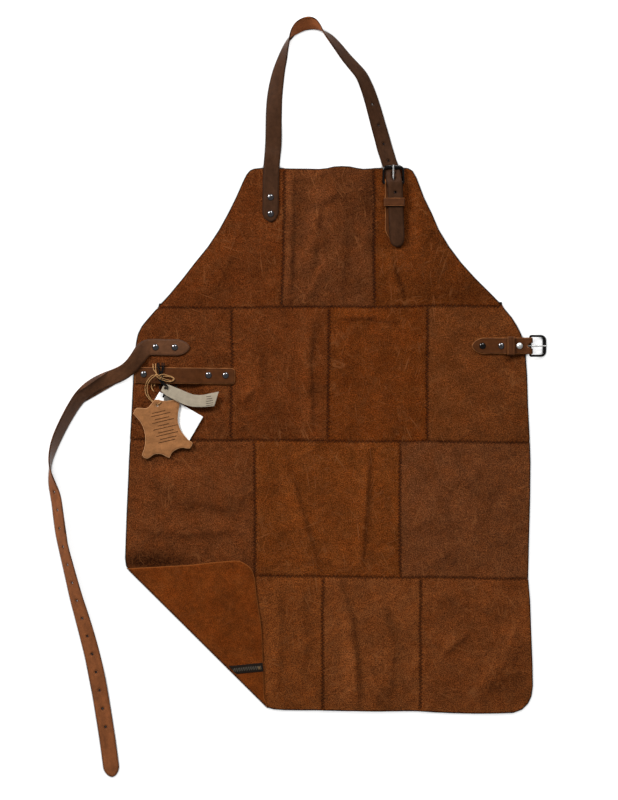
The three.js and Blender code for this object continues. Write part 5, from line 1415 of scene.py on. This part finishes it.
def chape(name, node, place):
    pr = Profile(chape_path, 0.6, place)
    turn_at = int(np.argmin(pr.q[:, 0]))
    inside_top = float(pr.e[int(np.argmin(np.abs(pr.q[:turn_at, 0] - 4.2)))])
    inside_low = float(pr.e[turn_at + int(np.argmin(np.abs(pr.q[turn_at:, 0] - 6.5)))])
    slot = slot_outline((inside_top + inside_low) / 2, 0, (inside_low - inside_top) / 2 - 2.2, 2.1)
    outline = strap_outline(0.2, pr.length - 0.2, CHAPE_W - 0.2, CHAPE_W - 0.2, 17, None)
    o, _ = sheet(name, outline, pr, STRAP_T - 0.15, CHAPE_L, holes=[slot], step=2.2, ring=0.5, edge=0.5)
    return place_on(o, "apron", (node,))


chape("side_chape", "side_buckle_chape", side_place)
chape("neck_chape", "neck_buckle_chape", neck_place)

arch = STRAP_ZC + 4.3
bx = [-244.4, -224.3, -218.3, -210.8, -182.3, -153.8, -146.3, -140.3, -93.2]
bz = [STRAP_ZC, STRAP_ZC, STRAP_ZC + 2, arch, arch + 0.1, arch, STRAP_ZC + 2, STRAP_ZC, STRAP_ZC]
BAND_Y = 33.5
band_profile = Profile(list(zip(bx[::-1], bz[::-1])), 5.0, lambda u, v, z: np.stack([u, BAND_Y + (u - bx[0]) * -0.012 + v, z], 1))
bl = band_profile.length
band_outline = rounded([(0.3, -12.3), (bl - 0.2, -12.1), (bl - 0.2, 12.1), (0.3, 12.3)], 6.5, 6, which=(0, 3))
band, _ = sheet("tool_band_strap", densify(band_outline, 2.6), band_profile, STRAP_T - 0.15, CHAPE_L, step=2.8, ring=0.55, edge=0.5)
place_on(band, "apron", ("tool_band",))


def keeper_ring(name, node, body, centre, turn, halfw, z0, z1, sec_w=5.0):
    """A flat strap bent into a closed loop; the lap of its ends underneath is not modelled."""
    o, c = halfw - 0.65, 1.7
    a, b = z0 + 0.65, z1 - 0.65
    path = []
    for cx, cz, f0 in ((o - c, b - c, 0), (-o + c, b - c, math.pi / 2), (-o + c, a + c * 0.55, math.pi), (o - c, a + c * 0.55, 3 * math.pi / 2)):
        for k in range(7):
            f = f0 + k / 6 * math.pi / 2
            cy = c * (0.55 if f0 >= math.pi else 1.0)
            path.append((cx + c * math.cos(f), cz + cy * math.sin(f)))
    path = densify(path, 1.2)
    crown = [0.0] * len(path)
    t = 0.65
    sec = densify(rounded([(-sec_w, -t), (sec_w, -t), (sec_w, t), (-sec_w, t)], 0.5, 3), 0.9)
    cosf, sinf = math.cos(turn), math.sin(turn)
    p3 = []
    for v, z in path:
        p3.append((centre[0] - sinf * v, centre[1] + cosf * v, z))
    p, tt, _, _ = frames_along(p3, True)
    along = np.array([cosf, sinf, 0.0])
    out = np.cross(tt, along)
    m = len(sec)
    co = np.concatenate([p[i] + sec[:, :1] * along + sec[:, 1:] * out[i] for i in range(len(p))])
    n = len(p)
    faces = [(i * m + k, i * m + (k + 1) % m, ((i + 1) % n) * m + (k + 1) % m, ((i + 1) % n) * m + k) for i in range(n) for k in range(m)]
    run = np.arange(n) * 1.2
    uv = np.array([[run[i], sec[k][0]] for i in range(n) for k in range(m)])
    rimv = np.array([1.0 if abs(sec[k][0]) > sec_w - 0.35 else 0.0 for _ in range(n) for k in range(m)])
    inset = np.array([sec_w - abs(sec[k][0]) for _ in range(n) for k in range(m)])
    o = mesh_object(name, co, faces, KEEPER_L, uv, {"rim": rimv * 0.8, "inset": inset, "side": np.ones(n * m)}, 50)
    import bmesh

    bm = bmesh.new()
    bm.from_mesh(o.data)
    bmesh.ops.recalc_face_normals(bm, faces=bm.faces)
    bm.to_mesh(o.data)
    bm.free()
    return place_on(o, body, (node,))


keeper_ring("side_keeper_loop", "side_keeper", "side_keeper_ring", (SIDE[0] - 29, SIDE[1]), 0.0, 14.2, STRAP_Z0, 11.4)
keeper_ring("neck_keeper_loop", "neck_keeper", "neck_keeper_ring", (NECK[0] + 1.4, NECK[1] - 30.4), math.pi / 2, 15.8, STRAP_Z0, 13.8, 6.0)


# ------------------------------------------------------------------ buckles
def buckle(name, node, body, centre, turn, tilt, back=0.0):
    """A cast frame: flattened toe, rounded shoulders, round heel bar. a runs from the heel bar to the toe."""
    L, W = 25.1 - 1.5, 32.7 / 2
    t = 1.3
    path = []
    for cx, cy, r, f0 in ((L - 7.4, W - 7.6, 6.0, 0), (1.6 - back, W - 3.0, 1.5, math.pi / 2), (1.6 - back, -W + 3.0, 1.5, math.pi), (L - 7.4, -W + 7.6, 6.0, 3 * math.pi / 2)):
        for k in range(9):
            f = f0 + k / 8 * math.pi / 2
            path.append((cx + (r + (0 if r > 2 else 0)) * math.cos(f), cy + r * math.sin(f), 0))
    path = densify(path, 1.0)
    path = np.array([[q[0], q[1], 0.0] for q in path])
    # wider and flatter at the toe
    scale = []
    for q in path:
        toe = np.clip((q[0] - (L - 8)) / 5.5, 0, 1)
        heel = np.clip((3.0 - q[0]) / 2.0, 0, 1) * (1 if abs(q[1]) < W - 3.4 else 0)
        w = 1.72 + 1.0 * toe * np.clip(1 - (abs(q[1]) / (W - 1)) ** 4, 0, 1)
        scale.append((w, 1.4))
    sec = [(math.copysign(abs(math.cos(f)) ** 0.8, math.cos(f)), math.copysign(abs(math.sin(f)) ** 0.8, math.sin(f))) for f in np.linspace(0, 2 * math.pi, 16, endpoint=False)]
    path[:, 0] -= 0.0
    o = sweep(name, path, sec, GUN, closed=True, scale=np.array(scale))
    bar = sweep(name + "_heel_bar", [(0, y, 0) for y in np.linspace(-W + 1.3, W - 1.3, 24)], ring_section(BAR_R - 0.02, 18), GUN)
    cosf, sinf = math.cos(turn), math.sin(turn)
    ct, st = math.cos(tilt), math.sin(tilt)
    for x in (o, bar):
        co = np.array([v.co for v in x.data.vertices]) / MM
        a, z = co[:, 0] * ct + co[:, 2] * st, -co[:, 0] * st + co[:, 2] * ct
        new = np.stack([centre[0] + a * cosf - co[:, 1] * sinf, centre[1] + a * sinf + co[:, 1] * cosf, LOOP_Z + z], 1)
        x.data.vertices.foreach_set("co", (new * MM).astype(np.float32).ravel())
        x.data.update()
    place_on(o, body, (node,))
    place_on(bar, body)


def prong(name, node, body, centre, turn, tilt):
    ring_r = 2.15
    path = [(ring_r * math.cos(f), 0, ring_r * math.sin(f)) for f in np.linspace(math.radians(60), math.radians(385), 26)]
    arm = [(2.6, 0, 1.5), (4.5, 0, 1.7), (8, 0, 1.95), (12, 0, 2.2), (16, 0, 2.45), (20, 0, 2.6), (24.0, 0, 2.75), (25.3, 0, 2.8)]
    ring = sweep(name + "_eye", path, ring_section(0.7, 12, 1.4), STEEL, up=(0, 1, 0))
    full = catmull(arm, 6)
    n = len(full)
    k = np.linspace(0, 1, n)
    sc = np.stack([np.interp(k, [0, 0.1, 0.8, 0.95, 1], [1.45, 1.4, 1.05, 0.95, 0.45]), np.interp(k, [0, 0.1, 0.8, 0.95, 1], [1.0, 1.0, 0.8, 0.75, 0.4])], 1)
    o = sweep(name, full, ring_section(1.0, 14), STEEL, up=(0, 0, 1), scale=sc)
    cosf, sinf = math.cos(turn), math.sin(turn)
    ct, st = math.cos(tilt), math.sin(tilt)
    for x in (o, ring):
        co = np.array([v.co for v in x.data.vertices]) / MM
        a, z = co[:, 0] * ct + co[:, 2] * st, -co[:, 0] * st + co[:, 2] * ct
        new = np.stack([centre[0] + a * cosf - co[:, 1] * sinf, centre[1] + a * sinf + co[:, 1] * cosf, LOOP_Z + z], 1)
        x.data.vertices.foreach_set("co", (new * MM).astype(np.float32).ravel())
        x.data.update()
    place_on(o, body, (node,))
    place_on(ring, body)


buckle("side_buckle", "side_buckle_frame", "side_buckle", SIDE, 0.0, SIDE_TILT)
prong("side_prong", "side_buckle_prong", "side_prong", SIDE, 0.0, SIDE_TILT)
buckle("neck_buckle", "neck_buckle_frame", "neck_buckle", NECK, math.pi / 2, 0.0, 2.4)
prong("neck_prong", "neck_buckle_prong", "neck_prong", NECK, math.pi / 2, 0.0)


# ------------------------------------------------------------------ rivets
def lathe(name, profile, centre, material, n=28):
    co, faces, uv = [], [], []
    for k in range(n):
        f = 2 * math.pi * k / n
        for r, z in profile:
            co.append((centre[0] + r * math.cos(f), centre[1] + r * math.sin(f), z))
            uv.append((r, f))
    m = len(profile)
    for k in range(n):
        l = (k + 1) % n
        for i in range(m - 1):
            faces.append((k * m + i, l * m + i, l * m + i + 1, k * m + i + 1))
    me = bpy.data.meshes.new(name)
    import bmesh

    o = mesh_object(name, co, faces, material, uv, None, 40)
    bm = bmesh.new()
    bm.from_mesh(o.data)
    bmesh.ops.remove_doubles(bm, verts=bm.verts, dist=1e-6)
    bmesh.ops.recalc_face_normals(bm, faces=bm.faces)
    bm.to_mesh(o.data)
    bm.free()
    return o


RIVETS = {
    "neck_rivet_lower": 0, "neck_rivet_upper": 0, "neck_chape_rivet_tip": 0, "neck_chape_rivet_fold": 1, "waist_rivet_inner": 0, "waist_rivet_outer": 0,
    "side_chape_rivet_tip": 0, "side_chape_rivet_mid": 0, "side_chape_rivet_fold": 1, "band_rivet_left": 0, "band_rivet_mid": 0, "band_rivet_right": 0,
}
for node, on_fold in RIVETS.items():
    lo_c, hi_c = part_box(node)
    c = ((lo_c.x + hi_c.x) / 2 / MM, (lo_c.y + hi_c.y) / 2 / MM)
    z = (STRAP_Z0 + STRAP_T if not on_fold else STRAP_Z0 + 2 * STRAP_T + GAP) + 0.12
    prof = [(0.0, 0.02), (2.6, 0.02), (3.0, 0.16), (3.3, 0.03), (3.9, 0.05), (4.15, 0.25), (4.0, 0.55), (1.5, 0.6), (1.5, z), (4.3, z - 0.05), (4.72, z + 0.08), (4.8, z + 0.34), (4.66, z + 0.62), (4.2, z + 1.02), (3.5, z + 1.44), (2.6, z + 1.80), (1.5, z + 2.05), (0.7, z + 2.14), (0.0, z + 2.16)]
    # the side chape's tip rivet gets the painted-dark copy and its fold rivet the painted-bright copy; all are the same
    # nickel
    metal_of = {"side_chape_rivet_tip": NICKEL_PAINTED_DARK, "side_chape_rivet_fold": NICKEL_PAINTED_BRIGHT}
    place_on(lathe("rivet_" + node, prof, c, metal_of.get(node, NICKEL)), "apron", (node,))

# ------------------------------------------------------------------ tags
HIDE_HOLE, LABEL_HOLE, CARD_HOLE = (-210.4, -11.8), (-198.2, 13.9), (-200.9, 1.3)
HIDE_Z, CARD_Z, LABEL_Z = 5.6, 3.5, 9.8
hide_plan = [
    (-214.3, -3.7), (-209.9, -3.2), (-204.8, -4.4), (-196.6, -5.2), (-187.6, -3.7), (-181.9, -5.0), (-176.5, -8.3), (-178.7, -22.0), (-179.5, -32.3), (-178.1, -41.9), (-173.8, -51.4), (-164.0, -63.2),
    (-157.0, -67.9), (-161.3, -76.7), (-169.6, -75.7), (-177.2, -76.3), (-184.1, -79.7), (-189.4, -85.0), (-192.2, -90.8), (-201.4, -86.0), (-208.3, -84.8), (-215.2, -85.7), (-225.5, -92.2), (-232.9, -86.6),
    (-230.6, -78.8), (-228.5, -70.3), (-228.1, -60.8), (-229.4, -51.4), (-232.4, -42.7), (-237.5, -34.1), (-246.2, -24.7), (-245.3, -22.0), (-241.0, -15.5), (-229.7, -16.4), (-224.6, -15.2), (-220.3, -10.9), (-216.8, -6.5),
]


def tag_map(z, lift):
    """Tags lie nearly flat; lift(x, y) is how far their ends rise."""
    return lambda pts, off: np.stack([pts[:, 0], pts[:, 1], z + np.broadcast_to(off, len(pts)) + lift(pts[:, 0], pts[:, 1])], 1)


hide_lift = lambda x, y: 0.35 * np.cos((x - HIDE_HOLE[0]) / 22) * 0 + 0.0008 * (x - -206.3) ** 2
hide, _ = sheet("hide_shaped_tag", densify(smooth_closed(hide_plan, 2), 1.4), tag_map(HIDE_Z + 0.8, hide_lift), 1.5, HIDE_L, holes=[circle(*HIDE_HOLE, 2.1)], step=2.2, ring=0.45, edge=0.35)
place_on(hide, "leather_tag", ("hide_tag",))


def ruled(name, rows, material, body, height, along, up, origin, z_at, thick=0.12):
    """Plain ruled lines in place of print: rows of (start, end, how far down)."""
    along, up = np.array(along, float), np.array(up, float)
    co, faces, uv = [], [], []
    for k, (a, b, down) in enumerate(rows):
        n = max(2, int((b - a) / 2.5))
        for i in range(n + 1):
            u = a + (b - a) * i / n
            for v in (-height / 2, height / 2):
                p = np.array(origin) + along * u + up * (-down + v)
                co.append((p[0], p[1], z_at(p[0], p[1]) + thick))
                uv.append((u, v))
        base = len(co) - 2 * (n + 1)
        for i in range(n):
            q = base + 2 * i
            faces.append((q, q + 2, q + 3, q + 1))
    o = mesh_object(name, co, faces, material, uv, None, 0)
    s = o.modifiers.new("thick", "SOLIDIFY")
    s.thickness = thick * MM
    s.offset = -1
    return place_on(o, body)


ang = math.radians(13)
rows = []
lengths_of_rows = [(6, 26), (3, 33), (8, 30), (3, 36), (10, 27), (2, 40), (8, 32), (4, 38), (9, 34), (5, 31), (8, 28), (4, 38)]
rg = np.random.default_rng(11)
for k, (a, b) in enumerate(lengths_of_rows):
    if k < 10:
        rows.append((a, b, 10.2 * (k // 2) + 4.4 * (k % 2)))
ruled("hide_tag_ruling", rows, INK, "leather_tag", 1.05, (math.cos(ang), math.sin(ang)), (-math.sin(ang), math.cos(ang)), (-223.7, -25.4), lambda x, y: HIDE_Z + 1.55 + hide_lift(x, y), 0.08)

card_plan = [(-206.9, 8.9), (-141.5, -28.9), (-166.3, -71.8), (-231.7, -34.0)]
card_lift = lambda x, y: 0.0010 * (x - -191.3) ** 2
card, _ = sheet("white_card", densify(rounded(card_plan, 1.2, 3), 3), tag_map(CARD_Z + 0.25, card_lift), 0.45, CARD, holes=[circle(*CARD_HOLE, 1.6)], step=4, ring=0.3, edge=0.08)
place_on(card, "white_card", ("price_card",))

label_plan = [
    (-199.7, 21.1), (-191.0, 18.4), (-178.1, 13.3), (-165.2, 7.7), (-156.7, 4.6), (-148.0, 3.4), (-139.4, 4.3), (-128.3, 6.7), (-117.8, 8.8),
    (-124.7, -13.0), (-130.7, -13.6), (-143.6, -14.3), (-156.7, -13.9), (-165.2, -12.1), (-175.6, -8.3), (-186.8, -2.2), (-195.4, 2.0), (-204.8, 9.8),
]
label_lift = lambda x, y: 1.0 * np.clip((x - -176.3) / 50, 0, 1.2) ** 2 - 0.6 * np.exp(-0.5 * ((x - -150.8) / 16) ** 2) + 0.2
label, label_area = sheet("cloth_label_strip", densify(label_plan, 1.6), tag_map(LABEL_Z + 0.25, label_lift), 0.45, LABEL, holes=[circle(*LABEL_HOLE, 1.9)], step=2.6, ring=0.3, edge=0.08)
place_on(label, "cloth_label", ("fabric_label",))
ang = math.radians(8)
ruled("label_ruling", [(0, 7, 0), (0, 8.5, 3.4), (-1, 9, 6.8), (-2, 9, 10.2), (-2.5, 8, 13.2)], INK_GREY, "cloth_label", 0.9, (math.cos(ang), math.sin(ang)), (-math.sin(ang), math.cos(ang)), (-136.6, 1.0), lambda x, y: LABEL_Z + 0.475 + label_lift(x, y), 0.06)
slip_plan = [(-199.7, 6.1), (-197.3, 7.0), (-185.9, 1.3), (-184.4, -4.4), (-192.8, -6.5), (-200.6, -5.3)]
slip, _ = sheet("grey_slip", densify(slip_plan, 2), tag_map(CARD_Z + 1.3, lambda x, y: 0 * x), 0.4, GREY_TAG, step=2.4, ring=0.3, edge=0.08)
place_on(slip, "white_card")

# the twine's knot on the band
knot = []
for k in range(70):
    f = k / 69 * 2 * math.pi * 2.6
    r = 1.5 + 0.35 * math.sin(f * 0.7)
    knot.append((-210.2 + r * math.cos(f) * 1.15, 32.9 + r * math.sin(f), 12.9 + 0.9 * math.sin(f * 0.5 + 0.6)))
place_on(sweep("twine_knot", knot, ring_section(JUTE_D / 2, 10), JUTE, twist=0.6, sharp=0), "apron")

# ------------------------------------------------------------------ floor
floor_n = Nodes("floor")
floor_m = floor_n.done(floor_n.scale(floor_n.mix(0.0, (0.32, 0.32, 0.32), (0.32, 0.32, 0.32)), floor_n.span(floor_n.noise(floor_n.obj(), 3, 2, 0.5), 0.3, 0.7, 0.995, 1.005)), 0.9, spec=0.1)
floor_m.node_tree.nodes["Principled BSDF"].inputs["Emission Color"].default_value = (1.0, 1.0, 1.0, 1.0)
# a softly glowing table: open floor stays white, and ambient occlusion cuts its glow into painted shade, dark only
# where something closes it off
near_floor = floor_n.new("ShaderNodeAmbientOcclusion", samples=8)
near_floor.inputs["Distance"].default_value = 0.005
closed_in = floor_n.new("ShaderNodeAmbientOcclusion", samples=8)
closed_in.inputs["Distance"].default_value = 0.03
floor_n.put(floor_n.bsdf.inputs["Emission Strength"], floor_n.math("MULTIPLY", floor_n.span(near_floor.outputs["AO"], 0.45, 0.86, 0.0, 0.86, True), floor_n.span(closed_in.outputs["AO"], 0.30, 0.50, 0.0, 1.0, True)))
fm = bpy.data.meshes.new("floor")
fm.from_pydata([(-6, -6, -0.0006), (6, -6, -0.0006), (6, 6, -0.0006), (-6, 6, -0.0006)], [], [(0, 1, 2, 3)])
fm.materials.append(floor_m)
floor = bpy.data.objects.new("floor", fm)
scene.collection.objects.link(floor)
